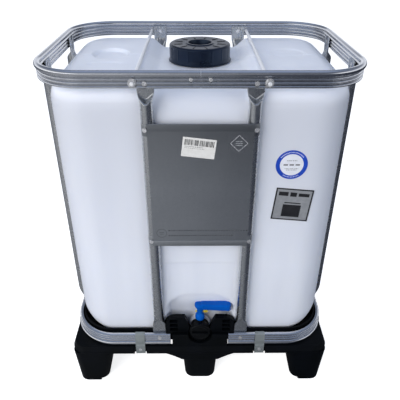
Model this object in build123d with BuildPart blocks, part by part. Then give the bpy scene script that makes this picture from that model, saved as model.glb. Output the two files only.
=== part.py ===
from build123d import *
import math
import os

os.makedirs("parts", exist_ok=True)

# Intermediate bulk container of the 300 litre class on an 800 x 600 plastic pallet.
# Origin: centre of the footprint on the floor. +X right, +Y back, +Z up; the outlet faces -Y.

# ---- overall ----
base_x, base_y = 800.0, 600.0
total_height = 1013.0

# ---- cage rails: ribbed tube bent to a rounded rectangle ----
rail_outer_x, rail_outer_y = 397.0, 289.0
rail_height = 42.0
rail_wall = 1.2
bead_r = 8.0
ridge_count = 3
ridge_rise = 3.0
rail_depth = 2 * bead_r
rail_in_x, rail_in_y = rail_outer_x - rail_depth, rail_outer_y - rail_depth
rail_corner_r = 114.0
ridge_pitch = (rail_height - 2 * bead_r) / ridge_count
ridge_reach = bead_r + ridge_rise
top_rail_z = total_height - rail_height
bottom_rail_z = 156.0
seam_gap = 0.6
rail_gap_left, rail_gap_right = -92.0, 88.0

# ---- posts: round tube, flattened where it laps the inside of the rails ----
post_r = 15.0
post_wall = 1.0
flat_width, flat_thick = 40.0, 3.0
post_axis_x, post_axis_y = rail_outer_x - post_r, rail_outer_y - post_r
front_post_x, side_post_y = 125.0, 127.0
flat_shift = rail_in_y - flat_thick / 2
flat_offset = post_axis_y - flat_shift
post_bottom_z, post_top_z = 163.0, 998.0
crush_low, round_low = 212.0, 268.0
round_high, crush_high = 935.0, 966.0

# name, x, y, turn about Z that brings the local outward direction (-Y) to the real one
post_places = [
    ("front_left_post", -front_post_x, -post_axis_y, 0),
    ("front_right_post", front_post_x, -post_axis_y, 0),
    ("back_left_post", -front_post_x, post_axis_y, 180),
    ("back_right_post", front_post_x, post_axis_y, 180),
    ("left_front_post", -post_axis_x, -side_post_y, -90),
    ("left_back_post", -post_axis_x, side_post_y, -90),
    ("right_front_post", post_axis_x, -side_post_y, 90),
    ("right_back_post", post_axis_x, side_post_y, 90),
]

# ---- fasteners ----
rivet_r, rivet_hole_r, rivet_head_r = 3.0, 3.05, 5.5
seam_head_r = 4.4
rivet_head_out, rivet_head_in = 2.2, 1.2
top_rivet_z = top_rail_z + 1.5 * ridge_pitch
bottom_rivet_z = bottom_rail_z + rail_height - 1.5 * ridge_pitch
rod_r, rod_hole_r, rod_x, rod_z = 4.5, 4.6, 152.0, 985.5
rod_half = 295.0
washer_r, washer_thick = 10.0, 1.5
nut_r, nut_thick = 8.6, 6.5
seam_rivet_x = 22.0
seam_rivet_z = top_rail_z + 2.5 * ridge_pitch

# ---- tank: blow moulded bottle ----
tank_half_x, tank_half_y = 366.5, 258.5
tank_bottom, tank_top = 165.0, 978.0
tank_wall = 3.0
tank_plan_r, tank_low_bevel, tank_high_bevel = 100.0, 41.0, 35.0
tank_split_z = 900.0
valley_half_low, valley_half_high = 112.0, 139.0
valley_mid_z, valley_end_z, valley_flat_y = 962.0, 944.0, 100.0
pocket_half, pocket_top, pocket_back, pocket_round = 100.0, 342.0, 236.0, 60.0
neck_r, neck_bore_r, neck_top = 75.0, 70.0, 1000.0

# ---- pallet ----
skirt_low, skirt_high, ledge_z = 132.0, 140.0, 155.8
skirt_taper, plan_round = 25.0, 42.0
deck_top, deck_skin = 165.0, 6.0
channel_in, channel_out, channel_end = 66.0, 266.0, 282.0
channel_round = 20.0
upstand_out_x, upstand_out_y = 376.5, 267.5
upstand_in_x, upstand_in_y = 372.0, 263.0
upstand_r, upstand_top = 106.0, 207.0
foot_floor, foot_wall = 13.0, 3.6
corner_foot_x, corner_foot_y = 345.0, 247.0
corner_top_x, corner_top_y = 334.0, 235.0
middle_foot_y = 237.0
ear_outer, ear_top, ear_round = 108.0, 265.0, 33.0
ear_frame_outer, ear_front = 104.0, 280.0
block_half, block_front, block_top = 85.0, 292.0, 206.0
arch_low, arch_foot_half, arch_reach = 100.0, 56.0, 128.0
arch_mid_x, arch_mid_z = 92.0, 121.0
arch_back, arch_front = 291.5, 296.0
toe_x, toe_height = 322.0, 9.0
ear_pocket_x, ear_pocket_width = 80.0, 24.0
ear_pocket_low, ear_pocket_pitch, ear_pocket_height = 210.0, 17.0, 13.0

# ---- outlet valve, on an axis along Y ----
valve_z = 204.0
spout_r, spout_bore_r, spout_end = 30.0, 24.0, 246.0
tail_r, valve_bore_r = 23.9, 19.5
gasket_thick = 1.5
barrel_r, barrel_front = 27.0, 266.5
spigot_r, spigot_bore_r, spigot_front = 29.2, 23.0, 278.0
valve_flange_r, outlet_seal_r = 28.0, 27.8
stem_y, stem_r, stem_hole_r = -257.0, 5.0, 5.05
boss_r, boss_top = 8.8, 236.5
seal_r, seal_height = 7.0, 1.8
disc_r, disc_thick, disc_hub_r = 17.5, 5.0, 8.0
lever_low, knob_top, neck_high = 241.0, 262.0, 290.0
hub_low, lever_top, lever_tip = 289.0, 305.5, 93.0
paddle_width = 36.0
cradle_r = 36.0

# ---- dust cap ----
cap_r, cap_skirt_bore, cap_back, cap_wall_y, cap_front = 34.0, 30.2, 266.2, 280.5, 284.5

# ---- fill cap ----
fill_r, fill_bore, fill_flange_r = 82.5, 76.0, 89.5
fill_low, fill_under, fill_top = 964.0, 1003.0, 1008.5
well_r, well_out_r, well_floor, well_rim = 31.0, 37.5, 988.0, 1010.0
vent_hole_r = 14.0

# ---- front plate and labels ----
plate_thick = 1.2
plate_half, plate_low, plate_high = front_post_x, 543.5, 892.0
hem = 18.0
plate_back_y = rail_outer_y + 0.1
plate_screw_turn = 16.0
plate_screw_r, plate_screw_hole_r = 2.5, 2.6
label_thick = 0.3

# ---- clips over the bottom rail ----
clip_x, clip_width, clip_thick = 185.0, 29.0, 2.0
clip_screw_z, clip_low, side_clip_low = 144.0, 127.0, 132.5
front_seat, side_seat = 18.9, 14.6
clip_screw_r, clip_screw_deep = 2.5, 10.0


def save(name, builder):
    """Labels a finished piece and writes it as its own STEP file."""
    builder.part.label = name
    export_step(builder.part, f"parts/{name}.step")


# =====================================================================================
# Rails
# =====================================================================================
def rail_outline():
    """Outside of the ribbed tube: x outward from its inner face, y from its plain edge to its bead."""
    bead_y = rail_height - bead_r
    edge = 2.0
    with BuildSketch() as outline:
        with BuildLine():
            Line((0, edge), (0, bead_y))
            CenterArc((bead_r, bead_y), bead_r, 180, -270)
            for i in range(ridge_count):
                high = bead_y - bead_r - i * ridge_pitch
                low = high - ridge_pitch
                ThreePointArc((bead_r, high), (ridge_reach, (high + low) / 2), (bead_r, low))
            Line((bead_r, 0), (edge, 0))
            Line((edge, 0), (0, edge))
        make_face()
    return outline.sketch


def rail_void():
    """Hollow inside the ribbed tube."""
    bead_y = rail_height - bead_r
    low = 2 * rail_wall
    width = bead_r - 2 * rail_wall
    with BuildSketch() as void:
        with Locations((rail_wall, low)):
            Rectangle(width, bead_y - low, align=(Align.MIN, Align.MIN))
        with Locations((bead_r, bead_y)):
            Circle(bead_r - rail_wall)
    return void.sketch


def rail_loop(z, left, right):
    """Inner-face line of a rail, once round the container from the right end to the left end."""
    with BuildLine(Plane.XY.offset(z)) as loop:
        FilletPolyline(
            (right, -rail_in_y),
            (rail_in_x, -rail_in_y),
            (rail_in_x, rail_in_y),
            (-rail_in_x, rail_in_y),
            (-rail_in_x, -rail_in_y),
            (left, -rail_in_y),
            radius=rail_corner_r,
        )
    return loop.wire()


def outward_hole(x, y, turn, z, radius, inner, outer):
    """Round bar along the outward direction of a place on the cage, used to cut or to fill a hole."""
    with BuildPart() as bar:
        with Locations(Location((x, y, z), (0, 0, turn))):
            with Locations(Location((0, -inner, 0), (90, 0, 0))):
                Cylinder(radius, outer - inner, align=(Align.CENTER, Align.CENTER, Align.MIN))
    return bar.part


# reach of the rail and the flattened post from the post axis, measured outward
rail_face_out = rail_in_y - post_axis_y
rail_ridge_out = rail_face_out + ridge_reach
flat_inner_out = rail_face_out - flat_thick

top_plane = Plane(origin=(seam_gap / 2, -rail_in_y, top_rail_z), x_dir=(0, -1, 0), z_dir=(-1, 0, 0))
with BuildPart() as top_rail:
    with BuildSketch(top_plane):
        add(rail_outline())
    sweep(path=rail_loop(top_rail_z, -seam_gap / 2, seam_gap / 2))
    with BuildSketch(top_plane):
        add(rail_void())
    sweep(path=rail_loop(top_rail_z, -seam_gap / 2, seam_gap / 2), mode=Mode.SUBTRACT)
    for _, x, y, turn in post_places:
        add(
            outward_hole(x, y, turn, top_rivet_z, rivet_hole_r, rail_face_out - 1, rail_ridge_out + 1),
            mode=Mode.SUBTRACT,
        )
    for side in (-1, 1):
        with Locations(Location((side * rod_x, 0, rod_z), (90, 0, 0))):
            Cylinder(rod_hole_r, base_y, mode=Mode.SUBTRACT)
        with Locations(Location((side * seam_rivet_x, -rail_in_y - bead_r, seam_rivet_z), (90, 0, 0))):
            Cylinder(rivet_hole_r, 3 * bead_r, mode=Mode.SUBTRACT)
save("top_rail", top_rail)

low_plane = Plane(
    origin=(rail_gap_right, -rail_in_y, bottom_rail_z + rail_height), x_dir=(0, -1, 0), z_dir=(1, 0, 0)
)
with BuildPart() as bottom_rail:
    with BuildSketch(low_plane):
        add(rail_outline())
    sweep(path=rail_loop(bottom_rail_z + rail_height, rail_gap_left, rail_gap_right))
    with BuildSketch(low_plane):
        add(rail_void())
    sweep(
        path=rail_loop(bottom_rail_z + rail_height, rail_gap_left, rail_gap_right),
        mode=Mode.SUBTRACT,
    )
    for _, x, y, turn in post_places:
        add(
            outward_hole(x, y, turn, bottom_rivet_z, rivet_hole_r, rail_face_out - 1, rail_ridge_out + 1),
            mode=Mode.SUBTRACT,
        )
save("bottom_rail", bottom_rail)

sleeve_low, sleeve_high, sleeve_gap = 4.0, 25.5, 0.1
with BuildPart() as rail_joint_sleeve:
    sleeve_thick = bead_r - 2 * rail_wall - 2 * sleeve_gap
    with Locations((0, -rail_in_y - rail_wall - sleeve_gap, top_rail_z + sleeve_low)):
        Box(70, sleeve_thick, sleeve_high - sleeve_low, align=(Align.CENTER, Align.MAX, Align.MIN))
    for side in (-1, 1):
        with Locations(Location((side * seam_rivet_x, -rail_in_y - bead_r, seam_rivet_z), (90, 0, 0))):
            Cylinder(rivet_hole_r, 3 * bead_r, mode=Mode.SUBTRACT)
save("rail_joint_sleeve", rail_joint_sleeve)

with BuildPart() as rail_joint_rivets:
    for side in (-1, 1):
        with Locations(Location((side * seam_rivet_x, -rail_in_y, seam_rivet_z), (90, 0, 0))):
            Cylinder(rivet_r, ridge_reach, align=(Align.CENTER, Align.CENTER, Align.MIN))
            Cylinder(seam_head_r, rivet_head_in, align=(Align.CENTER, Align.CENTER, Align.MAX))
        with Locations(
            Location((side * seam_rivet_x, -rail_in_y - ridge_reach, seam_rivet_z), (90, 0, 0))
        ):
            Cylinder(seam_head_r, rivet_head_out, align=(Align.CENTER, Align.CENTER, Align.MIN))
    fillet(rail_joint_rivets.edges().group_by(Axis.Y)[0], rivet_head_out * 0.6)
save("rail_joint_rivets", rail_joint_rivets)


# =====================================================================================
# Posts and their rivets
# =====================================================================================
def post_form(radius, width, thick, overrun):
    """Solid post: flat, then round, then flat again; outward is -Y and the tube axis is Z."""
    flat_low = (post_bottom_z - overrun, crush_low)
    flat_high = (crush_high, post_top_z + overrun)
    round_span = 2 * radius + 0.2
    with BuildPart() as form:
        for low, high in (flat_low, flat_high):
            with BuildSketch(Plane.XY.offset(low)):
                with Locations((0, flat_offset)):
                    SlotOverall(width, thick)
            extrude(amount=high - low)
        for flat_z, round_z in ((crush_low, round_low), (crush_high, round_high)):
            with BuildSketch(Plane.XY.offset(flat_z)):
                with Locations((0, flat_offset)):
                    SlotOverall(width, thick)
            with BuildSketch(Plane.XY.offset(round_z)):
                SlotOverall(round_span, 2 * radius)
            loft()
        with BuildSketch(Plane.XY.offset(round_low)):
            SlotOverall(round_span, 2 * radius)
        extrude(amount=round_high - round_low)
    return form.part


with BuildPart() as post_blank:
    add(post_form(post_r, flat_width, flat_thick, 0))
    add(
        post_form(post_r - post_wall, flat_width - 2 * post_wall, flat_thick - 2 * post_wall, 1),
        mode=Mode.SUBTRACT,
    )
    with Locations((0, flat_offset, top_rivet_z), (0, flat_offset, bottom_rivet_z)):
        Cylinder(rivet_hole_r, 2 * flat_thick, rotation=(90, 0, 0), mode=Mode.SUBTRACT)

plate_front_y = plate_back_y + plate_thick
tab_inner = plate_back_y - post_axis_y
tab_outer = tab_inner + plate_thick
tab_height, tab_wrap = 30.0, 52.0
screw_places = [
    (side * front_post_x, z)
    for side in (-1, 1)
    for z in (plate_low + tab_height / 2, plate_high - tab_height / 2)
]


def screw_frame(post_x, z):
    """Plane on a front post whose normal points straight out through a plate screw."""
    a = math.radians(plate_screw_turn)
    normal = (math.copysign(math.sin(a), post_x), -math.cos(a), 0)
    return Plane(origin=(post_x, -post_axis_y, z), x_dir=(0, 0, 1), z_dir=normal)


for place_name, place_x, place_y, place_turn in post_places:
    with BuildPart() as post:
        with Locations(Location((place_x, place_y, 0), (0, 0, place_turn))):
            add(post_blank.part)
        for post_x, z in screw_places:
            if place_name.startswith("front") and post_x == place_x:
                with BuildSketch(screw_frame(post_x, z)):
                    Circle(plate_screw_hole_r)
                extrude(amount=post_r + 6, mode=Mode.SUBTRACT)
    save(place_name, post)


def rivet_row(z):
    """One rivet through the rail and each post at this height."""
    with BuildPart() as row:
        for _, x, y, turn in post_places:
            add(outward_hole(x, y, turn, z, rivet_r, flat_inner_out, rail_ridge_out))
            add(outward_hole(x, y, turn, z, rivet_head_r, rail_ridge_out, rail_ridge_out + rivet_head_out))
            add(outward_hole(x, y, turn, z, rivet_head_r, flat_inner_out - rivet_head_in, flat_inner_out))
    return row.part


with BuildPart() as post_rivets_top:
    add(rivet_row(top_rivet_z))
save("post_rivets_top", post_rivets_top)

with BuildPart() as post_rivets_bottom:
    add(rivet_row(bottom_rivet_z))
save("post_rivets_bottom", post_rivets_bottom)


# =====================================================================================
# Retaining rods over the tank
# =====================================================================================
def retaining_rod(side):
    """Straight rod that runs front to back over the tank and through both sides of the rail."""
    with BuildPart() as rod:
        with Locations(Location((side * rod_x, 0, rod_z), (90, 0, 0))):
            Cylinder(rod_r, 2 * rod_half)
        chamfer(rod.edges().filter_by(GeomType.CIRCLE), 0.8)
    return rod


save("left_retaining_rod", retaining_rod(-1))
save("right_retaining_rod", retaining_rod(1))

rod_ends = [(sx * rod_x, sy, rod_z) for sx in (-1, 1) for sy in (-1, 1)]
washer_face = rail_in_y + ridge_reach
with BuildPart() as rod_washers:
    for x, side, z in rod_ends:
        with BuildSketch(Plane(origin=(x, side * washer_face, z), x_dir=(1, 0, 0), z_dir=(0, side, 0))):
            Circle(washer_r)
            Circle(rod_hole_r, mode=Mode.SUBTRACT)
        extrude(amount=washer_thick)
save("rod_washers", rod_washers)

with BuildPart() as rod_nuts:
    for x, side, z in rod_ends:
        nut_y = side * (washer_face + washer_thick)
        with BuildSketch(Plane(origin=(x, nut_y, z), x_dir=(1, 0, 0), z_dir=(0, side, 0))):
            RegularPolygon(nut_r, 6)
            Circle(rod_hole_r, mode=Mode.SUBTRACT)
        extrude(amount=nut_thick)
save("rod_nuts", rod_nuts)


# =====================================================================================
# Front plate
# =====================================================================================
def tab_ring(turn_from, turn_to, post_x, inner, outer, low, high):
    """Part of a ring round a front post, between two turns from the front towards the outside."""
    side = math.copysign(1, post_x)
    with BuildPart() as tab:
        with BuildSketch(Plane.XY.offset(low)):
            with BuildLine():
                points = []
                for radius, turns in ((outer, (turn_from, turn_to)), (inner, (turn_to, turn_from))):
                    for turn in turns:
                        a = math.radians(turn)
                        points.append(
                            (post_x + side * radius * math.sin(a), -post_axis_y - radius * math.cos(a))
                        )
                middle = math.radians((turn_from + turn_to) / 2)
                mid_out = (
                    post_x + side * outer * math.sin(middle),
                    -post_axis_y - outer * math.cos(middle),
                )
                mid_in = (
                    post_x + side * inner * math.sin(middle),
                    -post_axis_y - inner * math.cos(middle),
                )
                ThreePointArc(points[0], mid_out, points[1])
                Line(points[1], points[2])
                ThreePointArc(points[2], mid_in, points[3])
                Line(points[3], points[0])
            make_face()
        extrude(amount=high - low)
    return tab.part


with BuildPart() as front_plate:
    with Locations((0, -plate_back_y, plate_low)):
        Box(
            2 * plate_half,
            plate_thick,
            plate_high - plate_low,
            align=(Align.CENTER, Align.MAX, Align.MIN),
        )
    for z in (plate_low, plate_high - hem):
        with Locations((0, -plate_front_y, z)):
            Box(2 * plate_half, plate_thick, hem, align=(Align.CENTER, Align.MAX, Align.MIN))
    for side in (-1, 1):
        for z in (plate_low, plate_high - tab_height):
            add(tab_ring(0, tab_wrap, side * front_post_x, tab_inner, tab_outer, z, z + tab_height))
    for post_x, z in screw_places:
        with BuildSketch(screw_frame(post_x, z)):
            Circle(plate_screw_hole_r)
        extrude(amount=post_r + 6, mode=Mode.SUBTRACT)
save("front_plate", front_plate)

with BuildPart() as plate_screws:
    for post_x, z in screw_places:
        frame = screw_frame(post_x, z)
        head_low = post_r + 2 * plate_thick + 0.3
        with BuildSketch(frame.offset(head_low)):
            Circle(rivet_head_r)
        extrude(amount=2.6)
        with BuildSketch(frame.offset(post_r - 8)):
            Circle(plate_screw_r)
        extrude(amount=head_low - post_r + 8)
        with BuildSketch(frame.offset(head_low + 1.7)):
            SlotOverall(8.0, 1.4)
        extrude(amount=1.2, mode=Mode.SUBTRACT)
save("plate_screws", plate_screws)


# =====================================================================================
# Tank
# =====================================================================================
def valley_form(inset):
    """Space over the sunken middle of the tank top, between the two lobes."""
    flat_z, end_z = valley_mid_z - inset, valley_end_z - inset
    reach = tank_half_y + 20
    low, high = valley_half_low + inset, valley_half_high + inset
    with BuildPart() as valley:
        with BuildSketch(Plane.YZ):
            with BuildLine():
                Polyline(
                    (-reach, end_z),
                    (-valley_flat_y, flat_z),
                    (valley_flat_y, flat_z),
                    (reach, end_z),
                    (reach, tank_top + 20),
                    (-reach, tank_top + 20),
                    close=True,
                )
            make_face()
        extrude(amount=high + 40, both=True)
        with BuildSketch(Plane.XZ):
            with BuildLine():
                slope = (high - low) / (tank_top - valley_end_z)
                spread = 20 * slope
                Polyline(
                    (-low, end_z),
                    (low, end_z),
                    (high + spread, tank_top + 20),
                    (-high - spread, tank_top + 20),
                    close=True,
                )
            make_face()
        extrude(amount=reach, both=True, mode=Mode.INTERSECT)
    return valley.part


# how much shorter a 45 degree bevel gets when its faces move inward by 1
bevel_share = 2 - math.sqrt(2)


def bottle_form(inset):
    """The bottle's body, moved inward by inset on every side."""
    low, high = tank_bottom + inset, tank_top - inset
    with BuildPart() as form:
        with BuildSketch(Plane.XY.offset(low)):
            RectangleRounded(
                2 * (tank_half_x - inset), 2 * (tank_half_y - inset), tank_plan_r - inset
            )
        extrude(amount=high - low)
        chamfer(form.edges().group_by(Axis.Z)[0], tank_low_bevel - bevel_share * inset)
        chamfer(form.edges().group_by(Axis.Z)[-1], tank_high_bevel - bevel_share * inset)
        add(valley_form(inset), mode=Mode.SUBTRACT)
        pocket_deep = tank_half_y - pocket_back + 20
        with BuildSketch(Plane.XZ.offset(pocket_back - inset)):
            with Locations((0, pocket_top + inset)):
                RectangleRounded(
                    2 * (pocket_half + inset),
                    2 * (pocket_top - tank_bottom),
                    pocket_round,
                    align=(Align.CENTER, Align.MAX),
                )
        extrude(amount=pocket_deep, mode=Mode.SUBTRACT)
    return form.part


with BuildPart() as bottle:
    add(bottle_form(0))
    with Locations(Location((0, -spout_end, valve_z), (-90, 0, 0))):
        Cylinder(spout_r, spout_end - pocket_back, align=(Align.CENTER, Align.CENTER, Align.MIN))
    add(bottle_form(tank_wall), mode=Mode.SUBTRACT)
    with Locations((0, 0, valley_mid_z - 3 * tank_wall)):
        Cylinder(neck_bore_r, 80, align=(Align.CENTER, Align.CENTER, Align.MIN), mode=Mode.SUBTRACT)
    with Locations(Location((0, -spout_end, valve_z), (-90, 0, 0))):
        Cylinder(
            spout_bore_r,
            spout_end - pocket_back + 3 * tank_wall,
            align=(Align.CENTER, Align.CENTER, Align.MIN),
            mode=Mode.SUBTRACT,
        )


def bottle_slice(low, high):
    """Part of the bottle between two heights."""
    with BuildPart() as part:
        add(bottle.part)
        with Locations((0, 0, low)):
            Box(
                base_x,
                base_y,
                high - low,
                align=(Align.CENTER, Align.CENTER, Align.MIN),
                mode=Mode.INTERSECT,
            )
    return part


save("tank", bottle_slice(0, tank_split_z))
save("tank_top", bottle_slice(tank_split_z, total_height))

with BuildPart() as tank_neck:
    with BuildSketch(Plane.XY.offset(valley_mid_z)):
        Circle(neck_r)
        Circle(neck_bore_r, mode=Mode.SUBTRACT)
    extrude(amount=neck_top - valley_mid_z)
save("tank_neck", tank_neck)


# =====================================================================================
# Fill cap and vent plug
# =====================================================================================
def turned(points, axis=Axis.Z):
    """Body of revolution round Z from an outline of (radius, height) points."""
    with BuildPart() as body:
        with BuildSketch(Plane.XZ):
            with BuildLine():
                Polyline(*points, close=True)
            make_face()
        revolve(axis=axis)
    return body.part


flange_top = fill_low + 8
with BuildPart() as fill_cap:
    add(
        turned(
            [
                (fill_bore, fill_low),
                (fill_flange_r, fill_low),
                (fill_flange_r, fill_low + 3),
                (fill_r, flange_top),
                (fill_r, fill_top - 6),
                (fill_r - 5, fill_top),
                (well_out_r, fill_top),
                (well_out_r, well_rim),
                (well_r, well_rim),
                (well_r, well_floor),
                (vent_hole_r, well_floor),
                (vent_hole_r, well_floor - 4),
                (well_r + 4, well_floor - 4),
                (well_r + 4, fill_under),
                (fill_bore, fill_under),
            ]
        )
    )
save("fill_cap", fill_cap)

with BuildPart() as fill_cap_seal:
    with BuildSketch(Plane.XY.offset(neck_top)):
        Circle(neck_r - 1.5)
        Circle(neck_bore_r, mode=Mode.SUBTRACT)
    extrude(amount=fill_under - neck_top)
save("fill_cap_seal", fill_cap_seal)

vent_seal_r, vent_seal_thick = 19.5, 1.5
with BuildPart() as vent_seal:
    with BuildSketch(Plane.XY.offset(well_floor)):
        Circle(vent_seal_r)
        Circle(vent_hole_r, mode=Mode.SUBTRACT)
    extrude(amount=vent_seal_thick)
save("vent_seal", vent_seal)

vent_head_low = well_floor + vent_seal_thick
vent_head_r, vent_head_thick, vent_tail = 22.0, 5.0, 13.0
vent_bar_length, vent_bar_width, vent_bar_height = 34.0, 7.0, 6.0
vent_flute_r, vent_flute_count = 1.6, 18
with BuildPart() as vent_plug:
    with BuildSketch(Plane.XY.offset(vent_head_low)):
        Circle(vent_head_r)
        with PolarLocations(vent_head_r + 0.6, vent_flute_count):
            Circle(vent_flute_r, mode=Mode.SUBTRACT)
    extrude(amount=vent_head_thick)
    with Locations((0, 0, vent_head_low + vent_head_thick)):
        Box(
            vent_bar_length,
            vent_bar_width,
            vent_bar_height,
            align=(Align.CENTER, Align.CENTER, Align.MIN),
        )
    with BuildSketch(Plane.XY.offset(vent_head_low)):
        Circle(vent_hole_r - 0.1)
        Circle(vent_hole_r - 6, mode=Mode.SUBTRACT)
    extrude(amount=-vent_tail)
save("vent_plug", vent_plug)


# =====================================================================================
# Outlet valve
# =====================================================================================
def turned_y(points):
    """Body of revolution round the outlet axis from (distance to the front, radius) points."""
    with BuildPart() as body:
        with BuildSketch(Plane.YZ):
            with BuildLine():
                Polyline(*[(-front, valve_z + radius) for front, radius in points], close=True)
            make_face()
        revolve(axis=Axis((0, 0, valve_z), (0, 1, 0)))
    return body.part


flange_back = spout_end + gasket_thick
tail_back = pocket_back - 2 * tank_wall
seal_grooves = (225.5, 230.5)
with BuildPart() as valve_body:
    add(
        turned_y(
            [
                (tail_back, valve_bore_r),
                (tail_back, tail_r),
                (flange_back, tail_r),
                (flange_back, valve_flange_r),
                (flange_back + 3, valve_flange_r),
                (flange_back + 3, barrel_r),
                (barrel_front, barrel_r),
                (barrel_front, spigot_r),
                (spigot_front, spigot_r),
                (spigot_front, spigot_bore_r),
                (barrel_front + 1, spigot_bore_r),
                (barrel_front + 1, valve_bore_r),
            ]
        )
    )
    with Locations((0, stem_y, valve_z + valve_bore_r + 2)):
        Cylinder(
            boss_r,
            boss_top - valve_z - valve_bore_r - 2,
            align=(Align.CENTER, Align.CENTER, Align.MIN),
        )
    with Locations((0, stem_y, valve_z - valve_bore_r - 4.5)):
        Cylinder(stem_hole_r, 80, align=(Align.CENTER, Align.CENTER, Align.MIN), mode=Mode.SUBTRACT)
    for z in seal_grooves:
        with Locations((0, stem_y, z)):
            Cylinder(
                seal_r + 0.05,
                seal_height + 0.2,
                align=(Align.CENTER, Align.CENTER, Align.MIN),
                mode=Mode.SUBTRACT,
            )
save("valve_body", valve_body)

with BuildPart() as valve_gasket:
    add(
        turned_y(
            [
                (spout_end, tail_r + 0.3),
                (spout_end, valve_flange_r),
                (flange_back, valve_flange_r),
                (flange_back, tail_r + 0.3),
            ]
        )
    )
save("valve_gasket", valve_gasket)

seat_half = 6.5
with BuildPart() as valve_seat:
    add(
        turned_y(
            [
                (-stem_y - seat_half, disc_r + 0.1),
                (-stem_y - seat_half, valve_bore_r),
                (-stem_y + seat_half, valve_bore_r),
                (-stem_y + seat_half, disc_r + 0.1),
            ]
        )
    )
    with Locations((0, stem_y, valve_z)):
        Cylinder(stem_hole_r, 3 * disc_r, mode=Mode.SUBTRACT)
save("valve_seat", valve_seat)

with BuildPart() as valve_disc:
    add(
        turned_y(
            [
                (-stem_y - disc_thick / 2, 0),
                (-stem_y - disc_thick / 2, disc_r - 1),
                (-stem_y, disc_r),
                (-stem_y + disc_thick / 2, disc_r - 1),
                (-stem_y + disc_thick / 2, 0),
            ]
        )
    )
    with Locations((0, stem_y, valve_z)):
        Cylinder(disc_hub_r, 2 * disc_r - 4)
        Cylinder(stem_hole_r - 0.03, 3 * disc_r, mode=Mode.SUBTRACT)
save("valve_disc", valve_disc)

stem_low = valve_z - valve_bore_r - 4.3
stem_high = neck_high + 3
pin_z, pin_r, pin_hole_r = 271.0, 2.5, 2.6
screw_r, screw_hole_r = 2.5, 2.55
with BuildPart() as valve_stem:
    with Locations((0, stem_y, stem_low)):
        Cylinder(stem_r, stem_high - stem_low, align=(Align.CENTER, Align.CENTER, Align.MIN))
    with Locations((0, stem_y, pin_z)):
        Cylinder(pin_hole_r, 4 * stem_r, rotation=(0, 90, 0), mode=Mode.SUBTRACT)
    with Locations((0, stem_y, stem_high)):
        Cylinder(
            screw_hole_r, 15, align=(Align.CENTER, Align.CENTER, Align.MAX), mode=Mode.SUBTRACT
        )
save("valve_stem", valve_stem)

with BuildPart() as stem_seals:
    for z in seal_grooves:
        with BuildSketch(Plane.XY.offset(z + 0.1)):
            with Locations((0, stem_y)):
                Circle(seal_r)
                Circle(stem_hole_r, mode=Mode.SUBTRACT)
        extrude(amount=seal_height)
save("stem_seals", stem_seals)

hub_r, knob_r, lever_neck_r = 18.0, 14.7, 12.5
with BuildPart() as lever:
    with Locations((0, stem_y, lever_low)):
        Cylinder(knob_r, knob_top - lever_low, align=(Align.CENTER, Align.CENTER, Align.MIN))
    fillet(lever.edges().filter_by(GeomType.CIRCLE), 5.0)
    with Locations((0, stem_y, knob_top - 4)):
        Cylinder(
            lever_neck_r, neck_high - knob_top + 6, align=(Align.CENTER, Align.CENTER, Align.MIN)
        )
    with BuildSketch(Plane.XY.offset(hub_low)):
        with Locations((0, stem_y)):
            Circle(hub_r)
        with Locations((0, stem_y)):
            Rectangle(lever_tip, paddle_width, align=(Align.MIN, Align.CENTER))
    extrude(amount=lever_top - hub_low)
    tip_edges = lever.edges().filter_by(Axis.Z).group_by(Axis.X)[-1]
    fillet(tip_edges, 7.0)
    fillet(lever.faces().sort_by(Axis.Z)[-1].edges(), 2.5)
    with Locations((0, stem_y, lever_low)):
        Cylinder(
            stem_hole_r - 0.03,
            stem_high - lever_low + 0.5,
            align=(Align.CENTER, Align.CENTER, Align.MIN),
            mode=Mode.SUBTRACT,
        )
    with Locations((0, stem_y, lever_top)):
        Cylinder(
            screw_hole_r, 20, align=(Align.CENTER, Align.CENTER, Align.MAX), mode=Mode.SUBTRACT
        )
        Cylinder(6.0, 2.5, align=(Align.CENTER, Align.CENTER, Align.MAX), mode=Mode.SUBTRACT)
    with Locations((0, stem_y, pin_z)):
        Cylinder(pin_hole_r, 4 * lever_neck_r, rotation=(0, 90, 0), mode=Mode.SUBTRACT)
save("lever", lever)

with BuildPart() as lever_screw:
    with Locations((0, stem_y, lever_top - 2.5)):
        Cylinder(5.5, 3, align=(Align.CENTER, Align.CENTER, Align.MIN))
        Cylinder(screw_r, 15, align=(Align.CENTER, Align.CENTER, Align.MAX))
    with BuildSketch(Plane.XY.offset(lever_top + 0.5)):
        with Locations((0, stem_y)):
            RegularPolygon(2.6, 6)
    extrude(amount=-2, mode=Mode.SUBTRACT)
save("lever_screw", lever_screw)

pin_head_x = lever_neck_r + 0.6
with BuildPart() as locking_pin:
    with Locations((pin_head_x, stem_y, pin_z)):
        Cylinder(
            pin_r,
            pin_head_x + lever_neck_r + 2,
            rotation=(0, 90, 0),
            align=(Align.CENTER, Align.CENTER, Align.MAX),
        )
        Cylinder(
            5.0, 3.0, rotation=(0, 90, 0), align=(Align.CENTER, Align.CENTER, Align.MIN)
        )
    with Locations((pin_head_x + 3, stem_y, pin_z)):
        Box(7.5, 3.0, 8.0, align=(Align.MIN, Align.CENTER, Align.CENTER))
save("locking_pin", locking_pin)

with BuildPart() as dust_cap:
    add(
        turned_y(
            [
                (cap_back, cap_skirt_bore),
                (cap_back, cap_r),
                (cap_front - 3.5, cap_r),
                (cap_front, cap_r - 3.2),
                (cap_front, 0),
                (cap_wall_y, 0),
                (cap_wall_y, cap_skirt_bore),
            ]
        )
    )
    with BuildSketch(Plane(origin=(0, -cap_front, valve_z), x_dir=(1, 0, 0), z_dir=(0, -1, 0))):
        Rectangle(52, 6)
    extrude(amount=5)
save("dust_cap", dust_cap)

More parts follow.
